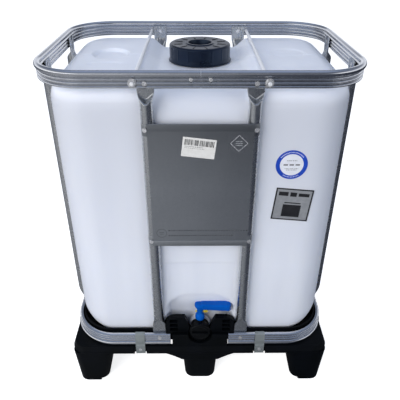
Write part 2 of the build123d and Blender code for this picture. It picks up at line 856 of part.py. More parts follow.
with BuildPart() as dust_cap_seal:
    add(
        turned_y(
            [
                (spigot_front, spigot_bore_r),
                (spigot_front, outlet_seal_r),
                (cap_wall_y, outlet_seal_r),
                (cap_wall_y, spigot_bore_r),
            ]
        )
    )
save("dust_cap_seal", dust_cap_seal)


# =====================================================================================
# Pallet
# =====================================================================================
def foot_form(low_centre, low_size, high_centre, high_size, low_z, high_z, round_low, round_high_r):
    """Tapered block with rounded corners between two heights."""
    with BuildPart() as foot:
        with BuildSketch(Plane.XY.offset(low_z)):
            with Locations(low_centre):
                RectangleRounded(*low_size, round_low)
        with BuildSketch(Plane.XY.offset(high_z)):
            with Locations(high_centre):
                RectangleRounded(*high_size, round_high_r)
        loft()
    return foot.part


# each foot: centre and size at the floor, then centre and size under the deck
corner_low, corner_high = (92, 92), (128, 126)
side_high = (128, 112)
middle_low, middle_high = (98, 90), (114, 108)
foot_list = [((0, 0), middle_low, (0, 0), middle_high)]
for side in (-1, 1):
    foot_list.append(((side * corner_foot_x, 0), corner_low, (side * corner_top_x, 0), side_high))
    place = (0, side * middle_foot_y)
    foot_list.append((place, middle_low, place, middle_high))
    for end in (-1, 1):
        low_place = (side * corner_foot_x, end * corner_foot_y)
        high_place = (side * corner_top_x, end * corner_top_y)
        foot_list.append((low_place, corner_low, high_place, corner_high))


def ear_outline():
    """Upper edge of the shroud beside the valve, on the +X side, in X and Z."""
    with BuildSketch() as ear:
        with BuildLine():
            Line((cradle_r - 6, deck_top), (cradle_r - 6, 214))
            ThreePointArc((cradle_r - 6, 214), (38, 246), (46, ear_top - 1))
            Line((46, ear_top - 1), (48, ear_top))
            Line((48, ear_top), (ear_outer - ear_round, ear_top))
            CenterArc((ear_outer - ear_round, ear_top - ear_round), ear_round, 90, -90)
            Line((ear_outer, ear_top - ear_round), (ear_outer, deck_top))
            Line((ear_outer, deck_top), (cradle_r - 6, deck_top))
        make_face()
    return ear.sketch


# x, y, turn about Z, outward distance from the rail's inner face to the strap's seat, and strap end
clip_places = [
    (-clip_x, -rail_in_y, 0, front_seat, clip_low),
    (clip_x, -rail_in_y, 0, front_seat, clip_low),
    (-clip_x, rail_in_y, 180, front_seat, clip_low),
    (clip_x, rail_in_y, 180, front_seat, clip_low),
    (-rail_in_x, 0, -90, side_seat, side_clip_low),
    (rail_in_x, 0, 90, side_seat, side_clip_low),
]


def foot_blank(foot):
    """Outside of one foot."""
    low_centre, low_size, high_centre, high_size = foot
    return foot_form(low_centre, low_size, high_centre, high_size, 0, skirt_low, 28, 24)


def foot_hollow(foot):
    """Hollow of one foot, closed by the deck above it."""
    low_centre, low_size, high_centre, high_size = foot
    low_in = tuple(v - 2 * foot_wall for v in low_size)
    high_in = tuple(v - 2 * foot_wall for v in high_size)
    return foot_form(
        low_centre, low_in, high_centre, high_in, foot_floor, skirt_low + 1, 24, 20
    )


def ear_frame():
    """Front frame of one ear, cut away where the end of the bottom rail passes."""
    with BuildSketch() as frame_face:
        add(ear_outline())
        Rectangle(2 * ear_frame_outer, 3 * ear_top, mode=Mode.INTERSECT)
        with Locations((block_half, bottom_rail_z + rail_height + 3)):
            Rectangle(base_x, base_x, align=(Align.MIN, Align.MAX), mode=Mode.SUBTRACT)
    return frame_face.sketch


with BuildPart() as pallet:
    # skirted deck with a sloping shoulder
    with BuildSketch(Plane.XY.offset(skirt_low)):
        RectangleRounded(base_x, base_y, plan_round)
    extrude(amount=skirt_high - skirt_low)
    with BuildSketch(Plane.XY.offset(skirt_high)):
        RectangleRounded(base_x, base_y, plan_round)
    extrude(amount=ledge_z - skirt_high, taper=skirt_taper)
    with BuildSketch(Plane.XY.offset(ledge_z)):
        RectangleRounded(2 * upstand_out_x, 2 * upstand_out_y, upstand_r)
    extrude(amount=deck_top - ledge_z)
    # upstand round the foot of the tank
    with BuildSketch(Plane.XY.offset(deck_top)):
        RectangleRounded(2 * upstand_out_x, 2 * upstand_out_y, upstand_r)
        RectangleRounded(2 * upstand_in_x, 2 * upstand_in_y, upstand_r - 4.5, mode=Mode.SUBTRACT)
    extrude(amount=upstand_top - deck_top)
    # web that arches down from the skirt in front of the middle foot
    with BuildSketch(Plane.XZ.offset(arch_back)):
        with BuildLine():
            arch_high = skirt_low + 4
            Line((-arch_reach, arch_high), (arch_reach, arch_high))
            ThreePointArc((arch_reach, arch_high), (arch_mid_x, arch_mid_z), (arch_foot_half, arch_low))
            Line((arch_foot_half, arch_low), (-arch_foot_half, arch_low))
            ThreePointArc((-arch_foot_half, arch_low), (-arch_mid_x, arch_mid_z), (-arch_reach, arch_high))
        make_face()
    extrude(amount=arch_front - arch_back)
    # block under and beside the outlet
    with Locations((0, -upstand_in_y, ledge_z - 4)):
        Box(
            2 * block_half,
            block_front - upstand_in_y,
            block_top - ledge_z + 4,
            align=(Align.CENTER, Align.MAX, Align.MIN),
        )
    # shroud ears: a thin plate in line with the upstand, and a deeper ribbed frame on its front
    with BuildSketch(Plane.XZ.offset(upstand_in_y)):
        add(ear_outline())
        mirror(about=Plane.YZ)
    extrude(amount=upstand_out_y - upstand_in_y)
    with BuildSketch(Plane.XZ.offset(upstand_out_y)):
        add(ear_frame())
        mirror(about=Plane.YZ)
    extrude(amount=ear_front - upstand_out_y)
    with BuildSketch(Plane.XZ.offset(upstand_out_y)):
        for side in (-1, 1):
            for i in range(3):
                with Locations((side * ear_pocket_x, ear_pocket_low + i * ear_pocket_pitch)):
                    Rectangle(
                        ear_pocket_width, ear_pocket_height, align=(Align.CENTER, Align.MIN)
                    )
    extrude(amount=ear_front, mode=Mode.SUBTRACT)
    # round cradle for the outlet
    with BuildSketch(Plane.XZ.offset(upstand_in_y - 20)):
        with Locations((0, valve_z)):
            Circle(cradle_r)
    extrude(amount=60, mode=Mode.SUBTRACT)
    # two channels in the underside, between the rows of feet
    with BuildSketch(Plane.XY.offset(skirt_low - 1)):
        for side in (-1, 1):
            with Locations((side * (channel_in + channel_out) / 2, 0)):
                RectangleRounded(channel_out - channel_in, 2 * channel_end, channel_round)
    extrude(amount=deck_top - deck_skin - skirt_low + 1, mode=Mode.SUBTRACT)
    # seats for the clips
    for x, y, turn, seat, _ in clip_places:
        with Locations(Location((x, y, 0), (0, 0, turn))):
            with Locations((0, 0.3 - seat, clip_low)):
                Box(
                    clip_width + 8,
                    base_y,
                    ledge_z + 1 - clip_low,
                    align=(Align.CENTER, Align.MAX, Align.MIN),
                    mode=Mode.SUBTRACT,
                )
            with Locations(Location((0, 0.3 - seat, clip_screw_z), (-90, 0, 0))):
                Cylinder(
                    clip_screw_r + 0.1,
                    clip_screw_deep + 1,
                    align=(Align.CENTER, Align.CENTER, Align.MIN),
                    mode=Mode.SUBTRACT,
                )
save("pallet", pallet)

with BuildPart() as pallet_feet:
    for foot in foot_list:
        add(foot_blank(foot))
    for foot in foot_list:
        add(foot_hollow(foot), mode=Mode.SUBTRACT)
    # step at the inner toe of each corner foot
    with BuildSketch():
        for side in (-1, 1):
            with Locations((side * (toe_x - 50), -corner_foot_y), (side * (toe_x - 50), corner_foot_y)):
                Rectangle(100, 2 * corner_low[1])
    extrude(amount=toe_height, mode=Mode.SUBTRACT)
save("pallet_feet", pallet_feet)


# =====================================================================================
# Clips that hold the bottom rail down
# =====================================================================================
def rail_clip(seat, low):
    """Strap from the rail's inner edge, over its bead and down to the seat in the pallet's edge."""
    rail_top = bottom_rail_z + rail_height
    over, bead_out, low_out = rail_top + 1.3, 2 * bead_r + 1.6, seat + clip_thick / 2
    with BuildPart() as clip:
        with BuildSketch(Plane.YZ):
            with BuildLine():
                FilletPolyline(
                    (-0.5, over),
                    (-12.6, over),
                    (-bead_out, 176.0),
                    (-bead_out, 164.0),
                    (-low_out, 157.5),
                    (-low_out, low),
                    radius=1.6,
                )
            trace(line_width=clip_thick)
        extrude(amount=clip_width / 2, both=True)
        with Locations(Location((0, -seat, clip_screw_z), (90, 0, 0))):
            Cylinder(clip_screw_r + 0.2, 20, mode=Mode.SUBTRACT)
    return clip.part


def clip_screw(seat):
    """Screw that holds the strap's foot."""
    with BuildPart() as screw:
        with Locations(Location((0, -seat - clip_thick, clip_screw_z), (90, 0, 0))):
            Cylinder(rivet_head_r, 1.9, align=(Align.CENTER, Align.CENTER, Align.MIN))
            Cylinder(clip_screw_r, clip_screw_deep, align=(Align.CENTER, Align.CENTER, Align.MAX))
    return screw.part


with BuildPart() as rail_clips:
    for x, y, turn, seat, low in clip_places:
        with Locations(Location((x, y, 0), (0, 0, turn))):
            add(rail_clip(seat, low))
save("rail_clips", rail_clips)

with BuildPart() as clip_screws:
    for x, y, turn, seat, _ in clip_places:
        with Locations(Location((x, y, 0), (0, 0, turn))):
            add(clip_screw(seat))
save("clip_screws", clip_screws)


# =====================================================================================
# Labels
# =====================================================================================
def label_plate(x, z, face_y, width, tall, turn):
    """Thin rectangular label on a face that looks to -Y."""
    with BuildPart() as label:
        with BuildSketch(Plane(origin=(x, -face_y, z), x_dir=(1, 0, 0), z_dir=(0, -1, 0))):
            RectangleRounded(width, tall, 2, rotation=turn)
        extrude(amount=label_thick)
    return label


save("barcode_label", label_plate(-4.6, 831.0, plate_front_y, 80, 50, -6.9))
save("load_label", label_plate(240.0, 655.0, tank_half_y, 98, 96, -5.3))

with BuildPart() as round_label:
    with BuildSketch(Plane(origin=(227, -tank_half_y, 772), x_dir=(1, 0, 0), z_dir=(0, -1, 0))):
        Circle(40)
    extrude(amount=label_thick)
save("round_label", round_label)
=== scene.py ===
import math

import bmesh
import bpy
import numpy as np
from mathutils import Matrix, Vector, noise


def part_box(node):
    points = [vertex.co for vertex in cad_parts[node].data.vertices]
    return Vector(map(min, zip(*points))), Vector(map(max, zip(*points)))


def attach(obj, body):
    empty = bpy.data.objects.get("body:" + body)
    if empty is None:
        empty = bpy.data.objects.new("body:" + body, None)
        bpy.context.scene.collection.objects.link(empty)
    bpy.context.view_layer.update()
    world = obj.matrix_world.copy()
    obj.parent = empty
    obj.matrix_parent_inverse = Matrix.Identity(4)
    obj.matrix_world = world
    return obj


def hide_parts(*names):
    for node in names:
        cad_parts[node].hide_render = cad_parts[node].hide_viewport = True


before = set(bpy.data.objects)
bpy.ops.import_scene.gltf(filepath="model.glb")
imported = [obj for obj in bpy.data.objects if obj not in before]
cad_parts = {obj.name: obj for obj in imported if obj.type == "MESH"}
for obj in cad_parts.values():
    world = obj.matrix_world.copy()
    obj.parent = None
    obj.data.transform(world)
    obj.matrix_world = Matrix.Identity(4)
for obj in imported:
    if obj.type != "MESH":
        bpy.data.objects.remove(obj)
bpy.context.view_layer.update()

# ---- Measures, in metres, from the frame ----
mm = 0.001
ROOT = "container"


def lows(node):
    """Lowest corner of a CAD node."""
    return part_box(node)[0]


def highs(node):
    """Highest corner of a CAD node."""
    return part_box(node)[1]


def middle(node):
    """Centre of a CAD node's box."""
    low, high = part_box(node)
    return (low + high) / 2


rail_out_x, rail_out_y = highs("top_rail").x, highs("top_rail").y
rail_tall = highs("top_rail").z - lows("top_rail").z
bead_r = 8 * mm
rail_in_x, rail_in_y = rail_out_x - 2 * bead_r, rail_out_y - 2 * bead_r
rail_corner = 114 * mm
post_r = 15 * mm
post_y, post_x = rail_out_y - post_r, rail_out_x - post_r
tank_low, tank_high = lows("tank"), highs("tank")
groove_swell = 3.5 * mm
tank_half_x, tank_half_y = tank_high.x + groove_swell, tank_high.y + groove_swell
tank_top = 978 * mm
neck_top = highs("tank_neck").z
cap_high = highs("fill_cap")
plate_low, plate_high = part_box("front_plate")
lever_high = highs("lever")


# ---- Mesh helpers ----
def mesh_object(name, points, faces, smooth=True):
    """A mesh object made from points and faces."""
    mesh = bpy.data.meshes.new(name)
    mesh.from_pydata([tuple(p) for p in points], [], faces)
    mesh.validate()
    if smooth:
        mesh.polygons.foreach_set("use_smooth", [True] * len(mesh.polygons))
    mesh.update()
    made = bpy.data.objects.new(name, mesh)
    bpy.context.scene.collection.objects.link(made)
    return made


def ring_faces(rings, count, closed=True, offset=0):
    """Quads between successive rings of count points."""
    faces = []
    last = count if closed else count - 1
    for k in range(rings - 1):
        a, b = offset + k * count, offset + (k + 1) * count
        for i in range(last):
            j = (i + 1) % count
            faces.append((a + i, a + j, b + j, b + i))
    return faces


def lathe(name, outline, centre, axis="z", count=128, ripple=None):
    """Body of revolution from (radius, height) points; ripple(angle, radius, height) changes a radius."""
    turns = np.linspace(0, 2 * math.pi, count, endpoint=False)
    points = []
    for radius, height in outline:
        for a in turns:
            r = radius + (ripple(a, radius, height) if ripple else 0)
            if axis == "z":
                points.append((centre[0] + r * math.cos(a), centre[1] + r * math.sin(a), centre[2] + height))
            else:
                points.append((centre[0] + r * math.cos(a), centre[1] - height, centre[2] + r * math.sin(a)))
    faces = ring_faces(len(outline), count)
    made = mesh_object(name, points, faces)
    weld(made, 1e-6)
    return made


def weld(made, distance):
    """Merges points that coincide and points all faces outward."""
    bm = bmesh.new()
    bm.from_mesh(made.data)
    bmesh.ops.remove_doubles(bm, verts=bm.verts, dist=distance)
    bmesh.ops.recalc_face_normals(bm, faces=bm.faces)
    bm.to_mesh(made.data)
    bm.free()
    made.data.update()


def modifier_applied(made):
    """Applies every modifier of an object to its mesh."""
    graph = bpy.context.evaluated_depsgraph_get()
    evaluated = made.evaluated_get(graph)
    mesh = bpy.data.meshes.new_from_object(evaluated)
    made.modifiers.clear()
    made.data = mesh


def smoothstep(t):
    """Smooth rise from 0 to 1."""
    t = np.clip(t, 0.0, 1.0)
    return t * t * (3 - 2 * t)


def place(made, material, body, slot, *nodes):
    """Gives a piece its material and body, and hides the CAD nodes that it stands for; slot is not used."""
    made.data.materials.clear()
    made.data.materials.append(material)
    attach(made, body)
    if nodes:
        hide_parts(*nodes)
    return made


# ---- Material helpers ----
def node(tree, kind, settings=None, **inputs):
    """A shader node with its settings and inputs; an input can be a value or another node's output."""
    made = tree.nodes.new(kind)
    for key, value in (settings or {}).items():
        setattr(made, key, value)
    for key, value in inputs.items():
        numbered = key[0] == "i" and key[1:].isdigit()
        socket = made.inputs[int(key[1:]) if numbered else key.replace("_", " ")]
        if isinstance(value, bpy.types.NodeSocket):
            tree.links.new(value, socket)
        else:
            socket.default_value = value
    return made


def new_material(name, roughness, **constants):
    """Empty Principled material; constants are set on the shader's own sockets."""
    material = bpy.data.materials.new(name)
    material.use_nodes = True
    tree = material.node_tree
    shader = tree.nodes["Principled BSDF"]
    shader.inputs["Roughness"].default_value = roughness
    for key, value in constants.items():
        shader.inputs[key.replace("_", " ")].default_value = value
    coords = tree.nodes.new("ShaderNodeTexCoord").outputs["Object"]
    return material, tree, shader, coords


def noise_value(tree, coords, scale, detail=3.0, roughness=0.55, stretch=None):
    """Grey noise; stretch multiplies each axis first."""
    where = coords
    if stretch:
        where = node(tree, "ShaderNodeMapping", Vector=coords, Scale=stretch).outputs[0]
    made = node(tree, "ShaderNodeTexNoise", Vector=where, Scale=scale, Detail=detail, Roughness=roughness)
    return made.outputs["Fac"]


def remap(tree, value, low, high, to_low, to_high):
    """A value moved from one range to another and clamped."""
    return node(tree, "ShaderNodeMapRange", i0=value, i1=low, i2=high, i3=to_low, i4=to_high).outputs[0]


def blend_colour(tree, factor, first, second):
    """Mix of two colours, each a tuple or a socket."""
    made = node(tree, "ShaderNodeMix", {"data_type": "RGBA"}, i0=factor)
    for index, value in ((6, first), (7, second)):
        if isinstance(value, bpy.types.NodeSocket):
            tree.links.new(value, made.inputs[index])
        else:
            made.inputs[index].default_value = (*value, 1)
    return made.outputs[2]


def times(tree, first, second):
    """Product of two values."""
    return node(tree, "ShaderNodeMath", {"operation": "MULTIPLY"}, i0=first, i1=second).outputs[0]


def plus(tree, first, second):
    """Sum of two values."""
    return node(tree, "ShaderNodeMath", {"operation": "ADD"}, i0=first, i1=second).outputs[0]


def add_bump(tree, shader, layers, bevel=None):
    """Stacks bump layers of (height, strength, distance); bevel rounds hard edges by that radius."""
    normal = None
    if bevel:
        normal = node(tree, "ShaderNodeBevel", {"samples": 4}, Radius=bevel).outputs[0]
    for height, strength, distance in layers:
        inputs = {"Height": height, "Strength": strength, "Distance": distance}
        if normal is not None:
            inputs["Normal"] = normal
        normal = node(tree, "ShaderNodeBump", None, **inputs).outputs[0]
    tree.links.new(normal, shader.inputs["Normal"])


def finish_look(tree, shader, colour, rough, layers, bevel=None):
    """Links colour and roughness to the shader and stacks its bump layers."""
    tree.links.new(colour, shader.inputs["Base Color"])
    tree.links.new(rough, shader.inputs["Roughness"])
    add_bump(tree, shader, layers, bevel)


def galvanised(
    name, light, dark, roughness, spangle=95.0, bevel=None, grain=(1, 1, 1), metallic=1.0, patchy=0.3,
    bump=1.0, flecks=0.4, painted_shade=None
):
    """Zinc-coated sheet: faint crystal spangle, drawn streaks, duller patches and fine pitting, with optional
    painted shade that darkens it towards the top, more so to the right.
    """
    material, tree, shader, coords = new_material(name, roughness, Metallic=metallic)
    cells = node(tree, "ShaderNodeTexVoronoi", Vector=coords, Scale=spangle)
    cell = node(tree, "ShaderNodeSeparateColor", i0=cells.outputs["Color"]).outputs[0]
    patches = noise_value(tree, coords, 7.0, 5.0)
    streaks = noise_value(tree, coords, 45.0, 4.0, 0.6, grain)
    fine = noise_value(tree, coords, 900.0, 3.0)
    tone = plus(tree, times(tree, cell, 0.12), times(tree, patches, patchy))
    tone = plus(tree, tone, times(tree, streaks, 0.58 - patchy))
    colour = blend_colour(tree, remap(tree, tone, 0.22, 0.50, 0.0, 1.0), dark, light)
    specks = remap(tree, noise_value(tree, coords, 260.0, 2.0), 0.68, 0.78, 0.0, flecks)
    colour = blend_colour(tree, specks, colour, tuple(0.6 * c for c in dark))
    # Painted shade: the colour darkens towards the top of the sheet, more so to the right.
    if painted_shade:
        spot = node(tree, "ShaderNodeSeparateXYZ", i0=coords)
        upward = remap(tree, spot.outputs["Z"], painted_shade[0], painted_shade[1], 0.0, 1.0)
        painted_shade_mask = times(tree, upward, remap(tree, spot.outputs["X"], -0.14, 0.14, 0.62, 1.0))
        colour = blend_colour(tree, painted_shade_mask, colour, tuple(painted_shade[2] * c for c in dark))
    rough = plus(tree, times(tree, patches, 0.16), times(tree, cell, 0.04))
    rough = plus(tree, rough, roughness - 0.09)
    layers = [(streaks, 0.05 * bump, 0.0003), (fine, 0.06 * bump, 0.0001)]
    finish_look(tree, shader, colour, rough, layers, bevel)
    return material


def moulded(
    name, colour, roughness, second=None, grain=900.0, grain_strength=0.15, scuff=0.5, bevel=None, **constants
):
    """Injection-moulded plastic: fine grain, cloudy sheen, thin scratches and pale scuffs."""
    material, tree, shader, coords = new_material(name, roughness, **constants)
    cloud = noise_value(tree, coords, 14.0, 4.0)
    fine = noise_value(tree, coords, grain, 2.0)
    scratch = noise_value(tree, coords, 55.0, 6.0, 0.7, (1.0, 0.12, 2.2))
    scratches = remap(tree, scratch, 0.62, 0.68, 0.0, 1.0)
    second = second or tuple(1.6 * c + 0.004 for c in colour)
    base = blend_colour(tree, remap(tree, cloud, 0.35, 0.7, 0.0, 1.0), colour, second)
    pale = tuple(min(1.0, 2.2 * c + 0.02) for c in colour)
    base = blend_colour(tree, times(tree, scratches, 0.35 * scuff), base, pale)
    rough = plus(tree, times(tree, cloud, 0.24), roughness - 0.12)
    rough = plus(tree, rough, times(tree, scratches, 0.12 * scuff))
    finish_look(tree, shader, base, rough, [(cloud, 0.10, 0.002), (fine, grain_strength, 0.0003)], bevel)
    return material


def tank_plastic():
    """Blow-moulded polyethylene: milky, faintly streaked down the walls, soft orange-peel surface, with
    painted shade that darkens the walls towards their upper part.
    """
    material, tree, shader, coords = new_material(
        "tank_polyethylene", 0.36, Subsurface_Weight=0.22, Subsurface_Scale=0.02, IOR=1.5
    )
    shader.inputs["Subsurface Radius"].default_value = (0.9, 1.0, 1.2)
    flow = noise_value(tree, coords, 5.0, 4.0, 0.5, (1.6, 1.6, 0.25))
    cloud = noise_value(tree, coords, 3.2, 3.0)
    peel = noise_value(tree, coords, 240.0, 2.0)
    slow = noise_value(tree, coords, 16.0, 2.0)
    streaky = remap(tree, flow, 0.35, 0.65, 0.0, 1.0)
    colour = blend_colour(tree, streaky, (0.74, 0.775, 0.86), (0.82, 0.85, 0.92))
    colour = blend_colour(tree, remap(tree, cloud, 0.45, 0.75, 0.0, 0.5), colour, (0.78, 0.80, 0.87))
    dust = remap(tree, noise_value(tree, coords, 420.0, 2.0), 0.70, 0.76, 0.0, 0.25)
    colour = blend_colour(tree, dust, colour, (0.62, 0.64, 0.70))
    # Painted shade: the walls darken from about 0.45 m up, fully by 0.88 m, and not on the top above about
    # 0.93 m.
    height = node(tree, "ShaderNodeSeparateXYZ", i0=coords).outputs["Z"]
    below_top = remap(tree, height, 0.93, 0.95, 1.0, 0.0)
    upper = times(tree, remap(tree, height, 0.45, 0.88, 0.0, 1.0), below_top)
    colour = blend_colour(tree, times(tree, upper, 0.85), colour, (0.60, 0.625, 0.69))
    rough = remap(tree, flow, 0.3, 0.7, 0.30, 0.46)
    finish_look(tree, shader, colour, rough, [(slow, 0.10, 0.003), (peel, 0.10, 0.0004)])
    return material


def printed(name, colour, second, roughness=0.45, **constants):
    """Printed film: paper-like mottling with soft relief, and a faint weave."""
    material, tree, shader, coords = new_material(name, roughness, **constants)
    mottle = noise_value(tree, coords, 90.0, 4.0)
    weave = noise_value(tree, coords, 1600.0, 2.0)
    colour_out = blend_colour(tree, remap(tree, mottle, 0.35, 0.7, 0.0, 1.0), colour, second)
    rough = remap(tree, mottle, 0.3, 0.7, roughness - 0.08, roughness + 0.1)
    finish_look(tree, shader, colour_out, rough, [(mottle, 0.08, 0.0006), (weave, 0.08, 0.0001)])
    return material


def rubber(name, colour, roughness):
    """Matt seal rubber with bloom."""
    material, tree, shader, coords = new_material(name, roughness)
    bloom = noise_value(tree, coords, 70.0, 5.0)
    fine = noise_value(tree, coords, 1200.0, 2.0)
    pale = tuple(2.0 * c + 0.01 for c in colour)
    base = blend_colour(tree, remap(tree, bloom, 0.4, 0.7, 0.0, 1.0), colour, pale)
    rough = remap(tree, bloom, 0.3, 0.7, roughness - 0.1, roughness + 0.1)
    finish_look(tree, shader, base, rough, [(fine, 0.2, 0.0002)])
    return material


steel_rail = galvanised(
    "galvanised_rail", (0.70, 0.71, 0.73), (0.62, 0.63, 0.65), 0.17, grain=(0.25, 0.25, 3.0), bump=0.0,
    flecks=0.05,
)
steel_post = galvanised(
    "galvanised_tube", (0.66, 0.67, 0.67), (0.56, 0.57, 0.57), 0.26, spangle=120.0, grain=(3.0, 3.0, 0.2),
    bump=0.0, flecks=0.1,
)
# The plate's colour carries painted shade: darker over its upper part, most of all at the right.
steel_plate = galvanised(
    "galvanised_plate", (0.52, 0.535, 0.55), (0.45, 0.465, 0.48), 0.42, spangle=240.0, bevel=0.0006,
    grain=(3.0, 1.0, 0.3), patchy=0.42, flecks=0.3, painted_shade=(0.72, 0.88, 0.66),
)
steel_clip = galvanised(
    "galvanised_strap", (0.36, 0.39, 0.385), (0.27, 0.30, 0.30), 0.42, spangle=110.0, bevel=0.0007,
    metallic=0.55,
)
# Painted reflection: the rods' near-white colour with little metal stands for the bright sky that they
# reflect.
rod_painted_bright = galvanised(
    "bright_rod", (0.90, 0.90, 0.92), (0.78, 0.79, 0.81), 0.36, spangle=160.0, grain=(3.0, 0.2, 3.0),
    metallic=0.25, bump=0.3,
)
steel_bright = galvanised(
    "bright_zinc", (0.88, 0.88, 0.88), (0.66, 0.66, 0.67), 0.26, spangle=160.0, bevel=0.0006, metallic=0.7
)
tank_look = tank_plastic()
black_pallet = moulded(
    "pallet_polyethylene", (0.0012, 0.0018, 0.0022), 0.44, (0.0022, 0.0030, 0.0048), grain=500.0,
    grain_strength=0.14, scuff=0.2, bevel=0.0022, Specular_IOR_Level=0.11,
)
# The cap's navy-tinted black is partly its own colour and partly a painted reflection of the blue sky on its
# top; the blue specular tint makes its reflections bluer too.
cap_navy_and_painted_sky = moulded(
    "cap_polyethylene", (0.0015, 0.0024, 0.007), 0.30, (0.003, 0.005, 0.016), grain_strength=0.08,
    scuff=0.2, Specular_IOR_Level=0.55, Specular_Tint=(0.55, 0.75, 1.0, 1.0),
)
black_valve = moulded(
    "valve_polypropylene", (0.0014, 0.0018, 0.0022), 0.30, (0.0028, 0.0032, 0.004), grain=1100.0,
    grain_strength=0.10, scuff=0.2, bevel=0.0008, Specular_IOR_Level=0.18,
)
blue_lever = moulded(
    "lever_polypropylene", (0.0005, 0.078, 0.40), 0.38, (0.001, 0.094, 0.46), grain=1100.0,
    grain_strength=0.10, scuff=0.1, Specular_IOR_Level=0.16, Specular_Tint=(0.45, 0.75, 1.0, 1.0),
)
yellow_pin = moulded(
    "pin_nylon", (0.62, 0.47, 0.04), 0.38, (0.70, 0.55, 0.07), grain=1100.0, grain_strength=0.12,
    scuff=0.3, bevel=0.0004,
)
disc_look = moulded(
    "disc_polypropylene", (0.62, 0.64, 0.66), 0.35, (0.68, 0.70, 0.72), grain=1100.0,
    grain_strength=0.10, scuff=0.3, bevel=0.0004,
)
seal_look = rubber("seal_rubber", (0.018, 0.018, 0.019), 0.62)
white_paper = printed("label_paper", (0.70, 0.69, 0.66), (0.76, 0.755, 0.73), 0.55)
white_film = printed("sticker_white", (0.74, 0.76, 0.82), (0.80, 0.82, 0.88), 0.40)
blue_film = printed("sticker_blue", (0.010, 0.055, 0.42), (0.014, 0.070, 0.48), 0.35)
grey_film = printed("label_grey", (0.24, 0.25, 0.265), (0.29, 0.30, 0.315), 0.42)
black_ink = printed("ink_black", (0.012, 0.012, 0.014), (0.022, 0.022, 0.025), 0.45)
grey_ink = printed("ink_grey", (0.16, 0.16, 0.165), (0.22, 0.22, 0.225), 0.5)
plate_mark = printed("plate_scribe", (0.055, 0.058, 0.065), (0.09, 0.093, 0.10), 0.5)
plate_scratch = printed("plate_bright_mark", (0.62, 0.63, 0.66), (0.74, 0.75, 0.78), 0.35)


# ---- Rails: ribbed tube bent to a rounded rectangle ----
sheet = 1.2 * mm
rail_hollow = 60 * mm
back_rib, front_rib = 3.0 * mm, 4.5 * mm


def rail_section(wrinkle):
    """Closed section of the ribbed tube as (outward, up from the plain edge); wrinkle adds bend creases."""
    tall, bead, flat = rail_tall, bead_r, sheet
    bead_z = tall - bead
    pitch = (tall - 2 * bead) / 3
    points = []
    for t in np.linspace(0.0, 1.0, 34):
        z = flat + t * (bead_z - bead * 0.6 - flat)
        groove = back_rib * abs(math.sin(math.pi * z / pitch)) ** 0.7
        points.append((groove + wrinkle * 0.0004 * math.sin(2 * math.pi * z / 0.0042), z))
    for a in np.linspace(math.radians(205), math.radians(-90), 30):
        points.append((bead + bead * math.cos(a), bead_z + bead * math.sin(a)))
    for t in np.linspace(0.015, 0.985, 46):
        z = (bead_z - bead) * (1 - t)
        wave = abs(math.sin(math.pi * z / pitch)) ** 0.9
        crease = wrinkle * 0.0008 * (0.5 + 0.5 * math.sin(2 * math.pi * z / 0.0043))
        points.append((bead - 0.0006 + front_rib * wave - crease, z))
    return points + [(bead - 0.0008, 0.0), (flat, 0.0)]


def hollow_of(out, up):
    """Where a point of the rail's outside lies on its hollow's outline."""
    bead_z = rail_tall - bead_r
    if up > bead_z - 0.7 * bead_r:
        share = 1 - sheet / bead_r
        return bead_r + (out - bead_r) * share, bead_z + (up - bead_z) * share
    return min(max(out, sheet), bead_r - sheet), max(up, 2 * sheet)


def rail_path(gap_left, gap_right, step):
    """Points round the rail's inner face, from the right end to the left end: place, outward, bend 0..1."""
    ix, iy, r = rail_in_x - rail_corner, rail_in_y - rail_corner, rail_corner
    path = []

    def straight(start, end, outward):
        count = max(2, int(math.dist(start, end) / step))
        for t in np.linspace(0, 1, count, endpoint=False):
            x, y = (a + t * (b - a) for a, b in zip(start, end))
            path.append((x, y, *outward, 0.0))

    def corner(cx, cy, start_angle):
        for t in np.linspace(0, 1, 30, endpoint=False):
            a = start_angle + t * math.pi / 2
            nx, ny = math.cos(a), math.sin(a)
            path.append((cx + r * nx, cy + r * ny, nx, ny, math.sin(math.pi * t) ** 0.5))

    straight((gap_right, -rail_in_y), (ix, -rail_in_y), (0, -1))
    corner(ix, -iy, -math.pi / 2)
    straight((rail_in_x, -iy), (rail_in_x, iy), (1, 0))
    corner(ix, iy, 0.0)
    straight((ix, rail_in_y), (-ix, rail_in_y), (0, 1))
    corner(-ix, iy, math.pi / 2)
    straight((-rail_in_x, iy), (-rail_in_x, -iy), (-1, 0))
    corner(-ix, -iy, math.pi)
    straight((-ix, -rail_in_y), (gap_left, -rail_in_y), (0, -1))
    path.append((gap_left, -rail_in_y, 0, -1, 0.0))
    return path


def make_rail(name, cad, bead_up, gap_left, gap_right, wrinkles):
    """Sweeps the section round the path; the bead is the upper or the lower edge."""
    low, high = lows(cad).z, highs(cad).z
    points = []
    path = rail_path(gap_left, gap_right, 0.02)
    count = len(rail_section(0.0))
    for i, (x, y, nx, ny, bend) in enumerate(path):
        sway = 0.0002 * noise.noise(Vector((x * 6, y * 6, low)))
        for out, up in rail_section(wrinkles * bend):
            z = low + up if bead_up else high - up
            points.append((x + nx * (out + sway), y + ny * (out + sway), z + sway))
    faces = ring_faces(len(path), count)
    for at, inward in ((0, 1), (len(path) - 1, -1)):
        x, y = path[at][:2]
        rim, start = at * count, len(points)
        for deep in (0.0, rail_hollow):
            for out, up in rail_section(0.0):
                out, up = hollow_of(out, up)
                points.append((x + inward * deep, y - out, low + up if bead_up else high - up))
        for i in range(count):
            j = (i + 1) % count
            faces.append((rim + i, rim + j, start + j, start + i))
            faces.append((start + i, start + j, start + count + j, start + count + i))
        faces.append(tuple(range(start + count, start + 2 * count)))
    made = mesh_object(name, points, faces)
    weld(made, 1e-7)
    sharp_by_angle(made, 50)
    return place(made, steel_rail, ROOT, "galvanised", cad)


